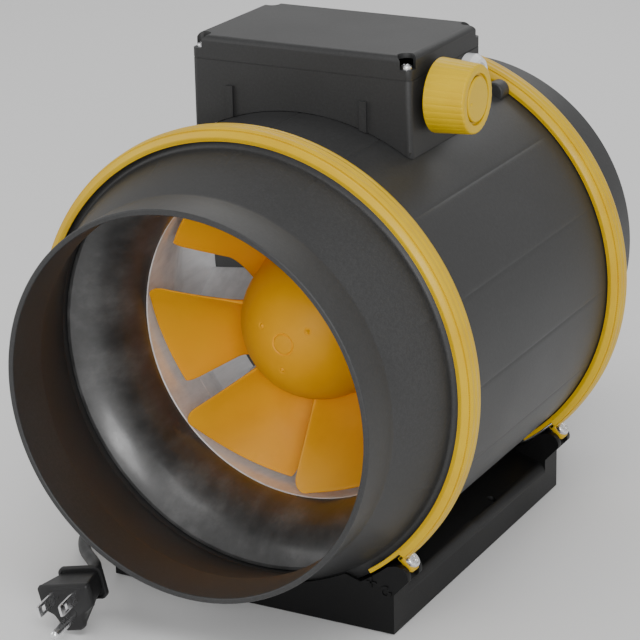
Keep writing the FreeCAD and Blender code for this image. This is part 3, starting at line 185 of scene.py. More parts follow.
def arcPoints(start, stop, centre, steps):
    # points on the short arc about centre from start to stop, both kept
    start, stop, centre = (np.array(p, float) for p in (start, stop, centre))
    first, last = start - centre, stop - centre
    turn = math.acos(np.clip(first @ last / np.linalg.norm(first) / np.linalg.norm(last), -1, 1))
    return centre + sweep(first, last, turn, np.linspace(0, 1, steps)[:, None])


def turned(profile, angles, centre=None, bump=None):
    # (along Y, radius) profile carried round the duct axis; bump adds to the radius by angle and place
    angles = angles[:, None]
    along = profile[None, :, 0] + 0 * angles
    radius = profile[None, :, 1] + 0 * angles
    if bump is not None:
        radius = radius + bump(angles, along, radius)
    height = axisHeight if centre is None else centre
    return np.stack([radius * np.cos(angles), along, height + radius * np.sin(angles)], -1)


def ringAngles(count, lines=(), width=0.0):
    # even angles round a circle, with extra ones close to each moulding line
    angles = np.linspace(0, 2 * math.pi, count, endpoint=False)
    if len(lines):
        spread = np.array([-1, -0.6, -0.25, 0, 0.25, 0.6, 1]) * width
        angles = np.concatenate([angles, (np.array(lines)[:, None] + spread).ravel() % (2 * math.pi)])
        angles = np.unique(np.round(angles, 6))
    return angles


def turnedPart(profile, count, closed=True):
    # a profile carried round the duct axis; one that ends on the axis at both ends isn't closed
    return gridPart(turned(profile, ringAngles(count)), True, closed)


def withRows(across, up, level, rows, angles):
    # the rings of a shape that isn't quite round, then plain ones given as (radius, level) rows
    radius, height = rows[None, :, 0], rows[None, :, 1]
    return (np.concatenate([across, radius * np.cos(angles)], 1),
            np.concatenate([up, radius * np.sin(angles)], 1),
            np.concatenate([level, height + 0 * angles], 1))


def atLevels(outlines, levels):
    # flat outlines, each with its own level as a third value
    levels = np.array(levels, float)[:, None, None]
    return np.concatenate([outlines, levels + 0 * outlines[..., :1]], -1)


def placed(points, origin, side, up, forward):
    # points given along three directions, put at origin
    basis = np.array([side, up, forward], float)
    return points @ basis + np.array(origin, float)


# ---- finishes

class Signal:
    # a shader socket that can be added and multiplied

    def __init__(self, finish, socket):
        self.finish = finish
        self.socket = socket

    def maths(self, operation, first, second):
        return self.finish.node("ShaderNodeMath", {"operation": operation}, {0: first, 1: second})

    def __add__(self, other):
        return self.maths("ADD", self, other)

    def __mul__(self, other):
        return self.maths("MULTIPLY", self, other)


class Finish:
    # one material, its shader, and a way to add nodes

    def __init__(self, name, **shader):
        self.material = bpy.data.materials.new(name)
        self.material.use_nodes = True
        self.tree = self.material.node_tree
        self.shader = next(n for n in self.tree.nodes if n.type == "BSDF_PRINCIPLED")
        for socket, value in shader.items():
            self.shader.inputs[socket.replace("_", " ")].default_value = value

    def node(self, kind, settings=None, values=None, output=0):
        made = self.tree.nodes.new(kind)
        for key, value in (settings or {}).items():
            if key == "stops":
                ramp = made.color_ramp
                while len(ramp.elements) < len(value):
                    ramp.elements.new(0.5)
                for element, (place, colour) in zip(ramp.elements, value):
                    element.position = place
                    element.color = (*colour, 1)
            else:
                setattr(made, key, value)
        for key, value in (values or {}).items():
            if isinstance(value, Signal):
                self.tree.links.new(value.socket, made.inputs[key])
            else:
                made.inputs[key].default_value = value
        return Signal(self, made.outputs[output])

    def place(self, stretch=(1, 1, 1)):
        coordinates = self.node("ShaderNodeTexCoord", output="Object")
        return self.node("ShaderNodeMapping", None, {"Vector": coordinates, "Scale": stretch})

    def noise(self, scale, detail=3.0, rough=0.55, vector=None):
        return self.node("ShaderNodeTexNoise", None, {
            "Vector": vector or self.place(), "Scale": scale, "Detail": detail, "Roughness": rough})

    def paint(self, tone, stops, dull, low, high):
        # colour by the ramp of tone, roughness from low to high by dull
        self.drive("Base Color", self.node("ShaderNodeValToRGB", {"stops": stops}, {"Fac": tone}))
        self.drive("Roughness", self.node("ShaderNodeMapRange", None, {
            "Value": dull, "From Min": 0.3, "From Max": 0.7, "To Min": low, "To Max": high}))

    def drive(self, socket, value):
        self.tree.links.new(value.socket, self.shader.inputs[socket])

    def bump(self, height, distance, strength=1.0):
        normal = self.node("ShaderNodeBump", None, {
            "Height": height, "Distance": distance * mm, "Strength": strength})
        self.drive("Normal", normal)


def mix(colour, share):
    # a colour made lighter or darker by a share
    return tuple(min(1, c * share) for c in colour)


def mouldedPlastic(name, colour, roughness, spread=0.08, grain=1400, lump=0.06,
                   patch=0.12, level=0.5):
    # plastic with a spark-eroded grain, small light specks and slow patches of tone
    finish = Finish(name, Specular_IOR_Level=level)
    fine = finish.noise(grain, 2, 0.6)
    speck = finish.noise(grain * 0.45, 1, 0.4)
    slow = finish.noise(14, 3, 0.5)
    tone = fine * 0.45 + speck * 0.2 + slow * 0.35
    stops = [(0.34, mix(colour, 1 - patch)), (0.5, colour), (0.66, mix(colour, 1 + 1.6 * patch))]
    finish.paint(tone, stops, slow * 0.6 + fine * 0.4, roughness - spread, roughness + spread)
    finish.bump(fine * 0.7 + speck * 0.3, lump)
    return finish.material


def glossyPlastic(name, colour, deep, roughness, coat):
    # dyed plastic: deeper colour in slow clouds, faint flow lines and tiny surface waves
    finish = Finish(name, Coat_Weight=coat, Coat_Roughness=0.1, Specular_IOR_Level=0.35)
    slow = finish.noise(22, 3, 0.5)
    flow = finish.noise(60, 4, 0.6, finish.place((1, 0.25, 1)))
    fine = finish.noise(900, 2, 0.5)
    finish.paint(slow * 0.6 + flow * 0.4, [(0.3, deep), (0.55, colour), (0.75, mix(colour, 1.06))],
                 flow * 0.5 + fine * 0.5, roughness - 0.05, roughness + 0.08)
    finish.bump(fine * 0.4 + flow * 0.6, 0.05, 0.6)
    return finish.material


def polishedBlack(name):
    # polished black moulding; its lighter cloudy patches and streaks along the air's way are painted
    # highlights
    finish = Finish(name, Coat_Weight=0.35, Coat_Roughness=0.18, Specular_IOR_Level=0.7)
    cloud = finish.noise(38, 5, 0.66, finish.place((1, 0.6, 1)))
    streak = finish.noise(90, 4, 0.6, finish.place((1, 0.2, 1)))
    fine = finish.noise(700, 2, 0.5)
    # the lighter grey stops are painted highlights and painted reflections on the bell, not a real change
    # of colour
    stops = [(0.34, [0.02] * 3), (0.52, [0.055] * 3), (0.72, [0.13] * 3)]
    dull = cloud * 0.5 + streak * 0.3 + fine * 0.2
    finish.paint(cloud * 0.65 + streak * 0.35, stops, dull, 0.26, 0.55)
    finish.bump(streak * 0.6 + fine * 0.4, 0.06, 0.7)
    return finish.material


def workedMetal(name, colour, roughness, metallic=1.0, grain=(1, 1, 1), scale=300, patch=0.16):
    # metal with drawn lines in one direction, dull patches and fine scratches
    finish = Finish(name, Metallic=metallic)
    lines = finish.noise(scale, 4, 0.65, finish.place(grain))
    cloud = finish.noise(34, 4, 0.6)
    stops = [(0.34, mix(colour, 1 - 1.6 * patch)), (0.52, colour), (0.68, mix(colour, 1 + patch))]
    dull = cloud * 0.6 + lines * 0.4
    finish.paint(lines * 0.5 + cloud * 0.5, stops, dull, roughness - 0.08, roughness + 0.14)
    finish.bump(lines, 0.03, 0.6)
    return finish.material


def softRubber(name, colour, roughness):
    # rubber with a dusty bloom, a dull grain and soft dents
    finish = Finish(name, Specular_IOR_Level=0.4)
    fine = finish.noise(1100, 2, 0.6)
    bloom = finish.noise(45, 4, 0.6)
    stops = [(0.36, mix(colour, 0.75)), (0.55, colour), (0.72, mix(colour, 1.7))]
    finish.paint(fine * 0.4 + bloom * 0.6, stops, bloom, roughness - 0.08, roughness + 0.1)
    finish.bump(fine, 0.05, 0.8)
    return finish.material


def circuitBoard(name):
    # green lacquer over woven glass with copper tracks on a square grid
    finish = Finish(name, Coat_Weight=0.4, Coat_Roughness=0.2)
    weave = finish.node("ShaderNodeTexBrick", {"offset": 0.5}, {
        "Vector": finish.place(), "Scale": 160.0, "Mortar Size": 0.03}, output="Fac")
    tracks = finish.noise(240, 1, 0.3)
    stops = [(0.3, (0.01, 0.07, 0.03)), (0.5, (0.016, 0.13, 0.05)), (0.56, (0.05, 0.22, 0.09))]
    finish.paint(tracks * 0.7 + weave * 0.3, stops, tracks, 0.3, 0.5)
    finish.bump(weave * 0.3 + tracks * 0.7, 0.05)
    return finish.material


def woundCopper(name):
    # enamelled wire laid in close turns
    finish = Finish(name, Metallic=0.85)
    turns = finish.node("ShaderNodeTexWave", {"wave_type": "BANDS", "bands_direction": "DIAGONAL"}, {
        "Vector": finish.place(), "Scale": 520.0, "Distortion": 1.5, "Detail": 1.0}, output="Fac")
    stops = [(0.1, (0.16, 0.05, 0.015)), (0.6, (0.62, 0.24, 0.08)), (0.95, (0.8, 0.36, 0.13))]
    finish.paint(turns, stops, turns, 0.45, 0.3)
    finish.bump(turns, 0.15)
    return finish.material


slotFinish = {
    "charcoal_shell": mouldedPlastic("charcoalShell", (0.026, 0.0262, 0.0265), 0.46, 0.07, 1300, 0.05, 0.3),
    "black_plastic": mouldedPlastic("footBlack", (0.004, 0.004, 0.0042), 0.44, 0.07, 1100, 0.05, 0.3, 0.25),
    "gloss_black": polishedBlack("bellBlack"),
    "yellow_band": glossyPlastic("bandYellow", (0.66, 0.42, 0.0), (0.6, 0.35, 0.0), 0.34, 0.0),
    "orange_impeller": glossyPlastic("bladeOrange", (1.0, 0.45, 0.0), (0.92, 0.39, 0.0), 0.5, 0.0),
    "knob_yellow": glossyPlastic("knobYellow", (0.66, 0.43, 0.0), (0.6, 0.36, 0.0), 0.38, 0.0),
    "silver_metal": workedMetal("brightShroud", (0.93, 0.93, 0.94), 0.42, 0.25, (1, 0.15, 1), 220, 0.1),
    "bright_screw": workedMetal("screwBright", (0.86, 0.86, 0.87), 0.22, 1.0, (1, 1, 0.3), 900, 0.08),
    "steel": workedMetal("turnedSteel", (0.52, 0.53, 0.55), 0.3, 1.0, (0.2, 1, 0.2), 900),
    "laminations": workedMetal("stackSteel", (0.32, 0.32, 0.34), 0.45, 1.0, (0.05, 1, 0.05), 2400, 0.3),
    "copper": woundCopper("windings"),
    "magnet": mouldedPlastic("ferrite", (0.05, 0.05, 0.055), 0.6, 0.08, 900, 0.08, 0.25),
    "board_green": circuitBoard("boardGreen"),
    "rubber_seal": softRubber("sealRubber", (0.02, 0.02, 0.021), 0.7),
    "terminal_grey": mouldedPlastic("terminalGrey", (0.42, 0.44, 0.45), 0.5, 0.06, 900, 0.04, 0.08),
    "cord_black": softRubber("leadRubber", (0.007, 0.007, 0.0072), 0.5),
    "plug_black": softRubber("plugRubber", (0.016, 0.016, 0.0165), 0.45),
    "light_cap": glossyPlastic("capLight", (0.82, 0.83, 0.85), (0.74, 0.75, 0.77), 0.25, 0.5),
}
boxCharcoal = mouldedPlastic("boxCharcoal", (0.02, 0.0202, 0.0205), 0.55, 0.06, 1500, 0.05, 0.3)
nodeFinish = {"terminal_box": boxCharcoal, "box_lid": boxCharcoal, "lid_gasket": boxCharcoal}
for row in frame["record"]["subparts"]:
    mesh = nodes[row["node"]].data
    if not mesh.materials:
        mesh.materials.append(None)
    for index in range(len(mesh.materials)):
        mesh.materials[index] = nodeFinish.get(row["node"], slotFinish[row["material_slot"]])
print("finishes made")


# ---- casing and spigots

casing = {"outer": 116.3, "wall": 2.8, "face": 94.7, "flange": 119.8, "rim": 3.2, "lines": 16,
          "groove": 0.3, "grooveWidth": 0.011, "grooveEnd": 78, "straight": 80}
wallLug = {"angle": 62.7, "radius": 5.5, "front": 76.3, "rear": 86.0, "round": 1.2, "sunk": 1.5}
lineAngles = np.arange(casing["lines"]) * 2 * math.pi / casing["lines"]


def nearLine(angles):
    # 1 on a moulding line, falling to 0 at its edges
    step = 2 * math.pi / casing["lines"]
    away = np.abs((angles + step / 2) % step - step / 2)
    return np.clip(1 - away / casing["grooveWidth"], 0, 1)


def casingBump(angles, along, radius):
    # shallow lines along the outer wall, stopping short of the flanges
    wall = (radius > casing["outer"] - 1) & (radius < casing["outer"] + 0.4)
    inside = 1 - smoothStep(casing["grooveEnd"] - 2, casing["grooveEnd"], np.abs(along))
    return -casing["groove"] * nearLine(angles) * inside * wall


def makeCasing():
    face, rim, outer, flange = casing["face"], casing["rim"], casing["outer"], casing["flange"]
    bore = outer - casing["wall"]
    half = [(face - rim - 3, outer, 2), (face - rim, flange, 0.6), (face, flange, 0.6), (face, bore, 0.4)]
    corners = [(-y, radius, arc) for y, radius, arc in half[::-1]]
    corners += [(y, outer, 0) for y in np.linspace(-casing["straight"], casing["straight"], 21)]
    angles = ringAngles(256, lineAngles, casing["grooveWidth"])
    ring = turned(roundedLoop(corners + half), angles, bump=casingBump)
    parts = [gridPart(ring, True, True)]
    lug = wallLug
    for side in (1, -1):
        x = side * (outer + 1) * math.cos(math.radians(lug["angle"]))
        z = (outer + 1) * math.sin(math.radians(lug["angle"]))
        loop = roundedLoop([(lug["front"], 0, 0), (lug["front"], lug["radius"], lug["round"]),
                            (lug["rear"], lug["radius"], lug["round"]), (lug["rear"], 0, 0)])
        body = turned(loop, ringAngles(48), centre=0)
        body += np.array([x, 0, axisHeight + z])
        reach = np.hypot(body[..., 0], body[..., 2] - axisHeight)
        keep = np.maximum(reach, outer - lug["sunk"]) / reach
        body[..., 0] *= keep
        body[..., 2] = axisHeight + (body[..., 2] - axisHeight) * keep
        parts.append(gridPart(body, True, False))
    makePiece("casingShell", parts, casingBody, ["middle_casing"], "charcoal_shell")


spigot = {"face": 95.7, "end": 164, "bend": 138.5, "wall": 3, "collar": 100, "drop": 3, "round": 9}


def spigotBump(angles, along, radius):
    # short raised lines on the cone, just past the flange
    away = np.abs(along)
    inside = smoothStep(104, 105, away) * (1 - smoothStep(111, 114, away)) * (radius > 103)
    return 0.35 * nearLine(angles) * inside


def makeSpigot(way):
    face, end, bend, wall, collar, drop, arc = spigot.values()
    rim = face + casing["rim"]
    cone = casing["outer"] - drop
    corners = [(face, casing["flange"], 0.6), (rim, casing["flange"], 0.6), (rim + 3, cone, 2.5)]
    share = np.linspace(0.08, 0.94, 9)
    corners += [(rim + 3 + (bend - rim - 3) * t, cone + (collar - cone) * t, 0) for t in share]
    corners += [(bend, collar, arc), (end, collar, 0.9), (end, collar - wall, 0.9),
                (bend, collar - wall, arc), (rim + 3, cone - wall, 3),
                (face, casing["outer"] - casing["wall"] - 1, 0.5)]
    side = "inlet" if way < 0 else "outlet"
    angles = ringAngles(256, lineAngles, casing["grooveWidth"])
    ring = turned(roundedLoop(corners) * (way, 1), angles, bump=spigotBump)
    makePiece(side + "SpigotShell", [gridPart(ring, True, True)], casingBody, [side + "_spigot"],
              "charcoal_shell")


makeCasing()
makeSpigot(-1)
makeSpigot(1)
print("casing and spigots made")


# ---- clamp bands and their screws

band = {"plane": 95.2, "half": 8.5, "crown": 123.7, "legFoot": 116.9, "legTop": 119.2, "leg": 1.5,
        "inner": 120.4, "fullAngle": 134.5, "lipAngle": 144.5, "neckAngle": 137.0, "clampAngle": 47.0,
        "clampRadius": 125.5, "tabWidth": 8.0, "tabThickness": 3.0, "ribDepth": 0.32, "ribPitch": 3.9}


def atClamp(way, side):
    # a clamp's place beside the band, the way out from the duct axis and the way up along the screw
    turn = math.radians(band["clampAngle"])
    outward = np.array([side * math.cos(turn), 0, -math.sin(turn)])
    rise = np.array([side * math.sin(turn), 0, math.cos(turn)])
    place = np.array([0, band["plane"] * way, axisHeight]) + outward * band["clampRadius"]
    return place, outward, rise


def fourCorners(left, right, low, high, *rounds):
    # four corners of an upright box outline, each with its own round
    return list(zip((left, right, right, left), (low, low, high, high), rounds))


def downTurn(angles):
    # degrees from straight up, as angles from +X towards +Z
    return math.pi / 2 - np.radians(angles)


def bandCrown():
    # the band's outline: legs, shoulders and a crown with three soft ribs
    half, crown, foot, top, inner = (band[k] for k in ("half", "crown", "legFoot", "legTop", "inner"))
    across = np.linspace(-5.9, 5.9, 37)
    ribs = band["ribDepth"] * 0.5 * np.cos(across * 2 * math.pi / band["ribPitch"])
    ridge = crown - 0.25 - 0.022 * across ** 2 + ribs
    outer = roundedLoop([(-half, foot, 0.3), (1.5 - half, foot, 0.3), (-4.4, inner, 0.6), (4.4, inner, 0.6),
                         (half - 1.5, foot, 0.3), (half, foot, 0.3), (half, top, 1.2),
                         (6.6, crown - 1.5, 1.1)], 5)
    crownRow = np.stack([across[::-1], ridge[::-1]], -1)
    shoulder = roundedLoop([(-6.6, crown - 1.5, 1.1), (-half, top, 1.2), (-half, foot, 0.3),
                            (0, foot - 4, 0), (6.6, crown - 6, 0)], 5)[:10]
    return np.vstack([outer, crownRow, shoulder])


def makeBand(way):
    b = band
    shift = np.array([0, b["plane"] * way, 0])
    full = downTurn(np.linspace(-b["fullAngle"], b["fullAngle"], 260))
    parts = [gridPart(turned(bandCrown(), full) + shift, False, True, True)]

    def runOn(outline, last, steps):
        # the outline carried on past both ends of the full band
        for end in (1, -1):
            reach = downTurn(end * np.linspace(b["fullAngle"] - 1, last, steps))
            parts.append(gridPart(turned(outline, reach) + shift, False, True, True))

    for side in (1, -1):
        near, far = side * (b["half"] - b["leg"]), side * b["half"]
        lip = fourCorners(near, far, b["legFoot"], b["legTop"], 0.3, 0.3, 0.5, 0.5)
        runOn(roundedLoop(lip, 4), b["lipAngle"], 16)
        if side > 0:
            neck = fourCorners(-4, 4, b["inner"] + 0.1, b["crown"] - 0.7, 0.3, 0.3, 1, 1)
            runOn(roundedLoop(neck, 4), b["neckAngle"], 8)
    half, thick = b["tabWidth"] / 2, b["tabThickness"]
    loop = roundedLoop(fourCorners(-half, half, b["inner"] - b["clampRadius"], 5, 0.2, 0.2, 3, 3), 8)
    middle = loop.mean(0)
    inset = np.array([0.4, 0, 0, 0.4])
    rings = (loop[None] - middle) * (1 - inset[:, None, None] / 6) + middle
    spots = atLevels(rings, [0, 0.4, thick - 0.4, thick])
    for side in (1, -1):
        origin, outward, rise = atClamp(way, side)
        parts.append(gridPart(placed(spots, origin, (0, 1, 0), outward, rise), False, True, True))
    end = "inlet" if way < 0 else "outlet"
    makePiece(end + "BandShell", parts, casingBody, [end + "_clamp_band"], "yellow_band", 40)


clampScrew = {"headRadius": 4.2, "headHeight": 2.6, "shankRadius": 2.0, "length": 13.5}
lidScrew = {"headRadius": 2.8, "headHeight": 2.2, "shankRadius": 1.3, "length": 11.5}


def screwPart(place, direction, sizes):
    # a domed head with a cross recess, on a plain shank; the profile is carried round the screw's axis
    head, tall, shank, length = sizes.values()
    angles = ringAngles(64)[:, None]
    edge = 0.9
    bend = np.linspace(0.1, 1, 6) * math.pi / 2
    radii = np.concatenate([np.linspace(0, head - edge, 22), head - edge + edge * np.sin(bend)])
    height = tall * (1 - 0.16 * (radii / head) ** 2)
    height[22:] = tall * 0.86 - edge * (1 - np.cos(bend))
    x, y = radii[None] * np.cos(angles), radii[None] * np.sin(angles)

    def arm(across, along):
        # 1 in the middle of one bar of the cross, falling to 0 at its edge and end
        width = head * 0.16
        inBar = 1 - smoothStep(width * 0.6, width, np.abs(across))
        return inBar * (1 - smoothStep(head * 0.5, head * 0.62, np.abs(along)))

    z = height[None] - np.maximum(arm(x, y), arm(y, x)) * tall * 0.45
    lower = np.array([[head, 0], [shank, 0], [shank, 0.3 - length], [shank * 0.7, -length], [0, -length]])
    x, y, z = withRows(x, y, z, lower, angles)
    forward = unit(np.array([direction], float))[0]
    helper = np.array([0, 1, 0]) if abs(forward[1]) < 0.9 else np.array([1, 0, 0])
    side = unit(np.cross(helper, forward)[None])[0]
    points = placed(np.stack([x, y, z], -1), place, side, np.cross(forward, side), forward)
    return gridPart(points, True, False)


def makeClampScrews():
    parts = []
    for way in (1, -1):
        for side in (1, -1):
            place, outward, rise = atClamp(way, side)
            parts.append(screwPart(place + rise * (band["tabThickness"] + 0.05), rise, clampScrew))
    makePiece("clampScrewSet", parts, casingBody, ["clamp_screws"], "bright_screw", 30)


def makeLidScrews():
    head = lidScrew["headRadius"]
    sides, ends, levels = (span("lid_screws", axis) for axis in range(3))
    parts = []
    for x in (sides[0] + head, sides[1] - head):
        for y in (ends[0] + head, ends[1] - head):
            parts.append(screwPart((x, y, levels[1] - lidScrew["headHeight"]), (0, 0, 1), lidScrew))
    makePiece("lidScrewSet", parts, casingBody, ["lid_screws"], "bright_screw", 30)


makeBand(-1)
makeBand(1)
makeClampScrews()
makeLidScrews()
print("bands and screws made")


# ---- nozzle, shroud and guide vanes

nozzle = {"back": -54.0, "throat": 89.0, "radius": 42.1, "wall": 2.5, "bore": 113.5}
shroud = {"rear": -10.0, "rearRadius": 97.0, "wall": 3.2, "flange": 2.5}


def makeNozzle():
    # the bell follows an arc from the mouth down to the throat; the shroud widens from there
    back, throat, radius, wall, bore = nozzle.values()
    mouth = bore - 2.5
    centre = (back, throat + radius)
    depth = math.sqrt(radius ** 2 - (radius - (mouth - throat)) ** 2)
    front = back - depth
    inner = arcPoints((front, mouth), (back, throat), centre, 48)
    small = radius - wall
    rise = mouth - throat - wall - 1
    run = math.sqrt(small ** 2 - (small - rise) ** 2)
    outer = arcPoints((back, throat + wall), (back - run, throat + wall + rise), centre, 24)
    lip = roundedLoop([(back + 3.5, throat + 0.2, 0.6), (back + 3.5, throat + wall, 0.6),
                       (back, throat + wall, 0), (back, throat, 0)], 4)[:8]
    edge = np.array([[front + 3, mouth - 1], [front + 3, bore - 0.3], [front + 0.5, bore - 0.3],
                     [front, bore - 0.8], [front, mouth + 0.7], [front + 0.15, mouth + 0.2]])
    loop = np.vstack([inner, lip, outer[1:-1], edge])
    makePiece("nozzleBell", [turnedPart(loop, 256)], casingBody,
              ["inlet_nozzle"], "gloss_black", 45)
    rear, rearRadius, thick, flange = shroud.values()
    loop = roundedLoop([(back + 4, throat, 0.6), (back + 4, throat + thick, 0.8),
                        (rear - flange, rearRadius + thick - 1, 1.5), (rear - flange, bore - 0.3, 0.5),
                        (rear, bore - 0.3, 0.5), (rear, rearRadius, 0.6)], 6)
    makePiece("shroudBand", [turnedPart(loop, 256)], casingBody,
              ["impeller_shroud"], "silver_metal", 45)


def bladeSection(share, start, end, camber, thickness, blunt):
    # closed section: chord + camber * 4t(1 - t) + half the thickness, its ends rounded
    ring = np.linspace(0, 2 * math.pi, 72, endpoint=False)
    along = 0.5 - 0.5 * np.cos(ring)
    face = np.sign(np.sin(ring)) * np.abs(np.sin(ring)) ** blunt
    chord = end - start
    normal = np.stack([-chord[..., 1], chord[..., 0]], -1) / np.linalg.norm(chord, axis=-1, keepdims=True)
    bow = camber[:, None] * 4 * along * (1 - along) + 0.5 * thickness[:, None] * face
    return start[:, None] + chord[:, None] * along[None, :, None] + normal[:, None] * bow[..., None]


def closing(share):
    # 1 along the blade, rounding to nothing at its root and tip so that both ends close
    edge = np.minimum(np.minimum(share, 1 - share) / 0.02, 1)
    return np.sqrt(np.maximum(1 - (1 - edge) ** 2, 0))


def toRadius(section, heights, reach):
    # a section point (x across, y along) at a height from the axis, moved to hypot(x, z) = reach
    x = section[..., 0] * reach / np.maximum(heights, 1e-6)
    turn = np.arctan2(x, np.sqrt(np.maximum(reach ** 2 - x ** 2, 1)))
    return np.stack([reach * np.sin(turn), section[..., 1], reach * np.cos(turn)], -1)


def copiesRound(points, count, first):
    # the same grid at even turns round the duct axis, first angle from +X towards +Z in degrees
    parts = []
    for k in range(count):
        turn = math.radians(first + 360 * k / count) - math.pi / 2
        c, s = math.cos(turn), math.sin(turn)
        x = points[..., 0] * c - points[..., 2] * s
        z = points[..., 0] * s + points[..., 2] * c
        parts.append(gridPart(np.stack([x, points[..., 1], axisHeight + z], -1), False, True))
    return parts


guide = {"front": -9.8, "length": 68, "wall": 2.4, "outer": 113.2, "throat": 97, "hubFront": 3.2,
         "hubNose": 50.5, "hubRear": 59.5, "count": 11, "web": 8, "bore": 18, "cableRadius": 5,
         "cablePlane": 24, "tailLength": 55, "tailRadius": 24}


def makeGuides():
    g = guide
    rear, middle = g["front"] + g["length"], g["front"] + 32
    ring = roundedLoop([(g["front"], g["throat"], 0.8), (g["front"], g["outer"], 0.4),
                        (g["front"] + g["wall"], g["outer"], 0.4),
                        (g["front"] + g["wall"], g["throat"] + 3.4, 1),
                        (middle, g["outer"], 6), (rear, g["outer"], 0.5),
                        (rear, g["outer"] - g["wall"], 0.5), (middle, g["outer"] - g["wall"], 8)])
    hub = roundedLoop([(g["hubFront"], g["hubNose"], 0.8), (rear, g["hubRear"], 0.5),
                       (rear, g["hubRear"] - g["wall"], 0.5), (g["web"] + 3, g["hubNose"] - 1.6, 1),
                       (g["web"] + 3, g["bore"], 0.5), (g["web"], g["bore"], 0.5),
                       (g["web"], g["hubNose"] - 2.2, 1), (g["hubFront"], g["hubNose"] - g["wall"], 0.8)])
    parts = [turnedPart(ring, 256), turnedPart(hub, 160)]
    share = np.concatenate([[0, 0.008], np.linspace(0.02, 0.98, 20), [0.992, 1]])
    lean = 10 + 6 * share
    start = np.stack([-lean, g["front"] + 14 - 3 * share], -1)
    end = np.stack([lean * 0.35, rear - 3 + 0 * share], -1)
    section = bladeSection(share, start, end, 5.5 + 0 * share,
                           (3.2 + 1.6 * np.exp(-share / 0.06)) * closing(share), 0.55)
    along = section[..., 1]
    widening = (g["hubRear"] - g["hubNose"]) * (along - g["hubFront"]) / (rear - g["hubFront"])
    inner = g["hubNose"] - 0.8 + widening
    outer = np.interp(along, [g["front"], g["front"] + 10, middle, rear], [98, 101.5, 111.5, 111.5])
    heights = 46.5 + (g["outer"] - 44.5) * share[:, None] + 0 * along
    reach = inner + (outer - inner) * share[:, None]
    parts += copiesRound(toRadius(section, heights, reach), g["count"], 90)
    around = ringAngles(40)[None]
    levels = np.linspace(50.5, 111.5, 12)[:, None]
    tube = np.stack([g["cableRadius"] * np.cos(around) + 0 * levels,
                     g["cablePlane"] + g["cableRadius"] * np.sin(around) + 0 * levels,
                     axisHeight + levels + 0 * around], -1)
    parts.append(gridPart(tube, False, True, True))
    makePiece("guideVaneShell", parts, casingBody, ["guide_vane_unit"], "silver_metal", 40)
    tip, within = rear + g["tailLength"], rear + g["tailLength"] - g["wall"]
    tail = roundedLoop([(rear + 0.2, g["hubRear"], 0.6), (rear + 0.2, g["hubRear"] - g["wall"], 0.6),
                        (within, g["tailRadius"] + 2, 2), (within, 0, 0), (tip, 0, 0),
                        (tip, g["tailRadius"], 2.5), (tip - 4, g["tailRadius"] + 5.5, 3)])
    tail = np.roll(tail, -np.argmax(tail[:, 1] <= 1e-9) - 1, 0)
    makePiece("tailFairingShell", [turnedPart(tail, 160, False)], casingBody,
              ["tail_fairing"], "black_plastic", 40)


makeNozzle()
makeGuides()
print("air path made")


# ---- impeller

wheel = {"domeCentre": -22.3, "domeRadius": 41.7, "rear": 2.0, "rearRadius": 50.5, "blades": 7,
         "span": 40.0, "first": 168.9, "tipFront": 85.8, "throatPlane": -54.0, "slope": 8 / 40,
         "capRadius": 5.6, "rootSweep": 8, "markRadius": 15.5, "markTurns": (32, 152, 262),
         "can": 38.6, "canLip": 36.1}


def hubRadius(along):
    # the hub's radius at a place along the axis: dome, then a widening skirt
    dome = np.sqrt(np.maximum(wheel["domeRadius"] ** 2 - (along - wheel["domeCentre"]) ** 2, 1))
    skirt = wheel["domeRadius"] + (wheel["rearRadius"] - wheel["domeRadius"]) * (
        along - wheel["domeCentre"]) / (wheel["rear"] - wheel["domeCentre"])
    return np.where(along < wheel["domeCentre"], dome, skirt)


def domeMarks(angles, along, radius):
    # round cap line and three ejector marks near the nose, as small lifts of the radius
    front = along < wheel["domeCentre"] - 20
    cap = -0.5 * np.exp(-((radius - wheel["capRadius"]) / 0.34) ** 2)
    lift = 0 * radius + cap
    for turn in wheel["markTurns"]:
        x = radius * np.cos(angles) - wheel["markRadius"] * math.cos(math.radians(turn))
        z = radius * np.sin(angles) - wheel["markRadius"] * math.sin(math.radians(turn))
        away = np.hypot(x, z)
        lift = lift + 0.7 * np.exp(-(away / 0.6) ** 2) - 0.35 * np.exp(-((away - 1.4) / 0.35) ** 2)
    return lift * front


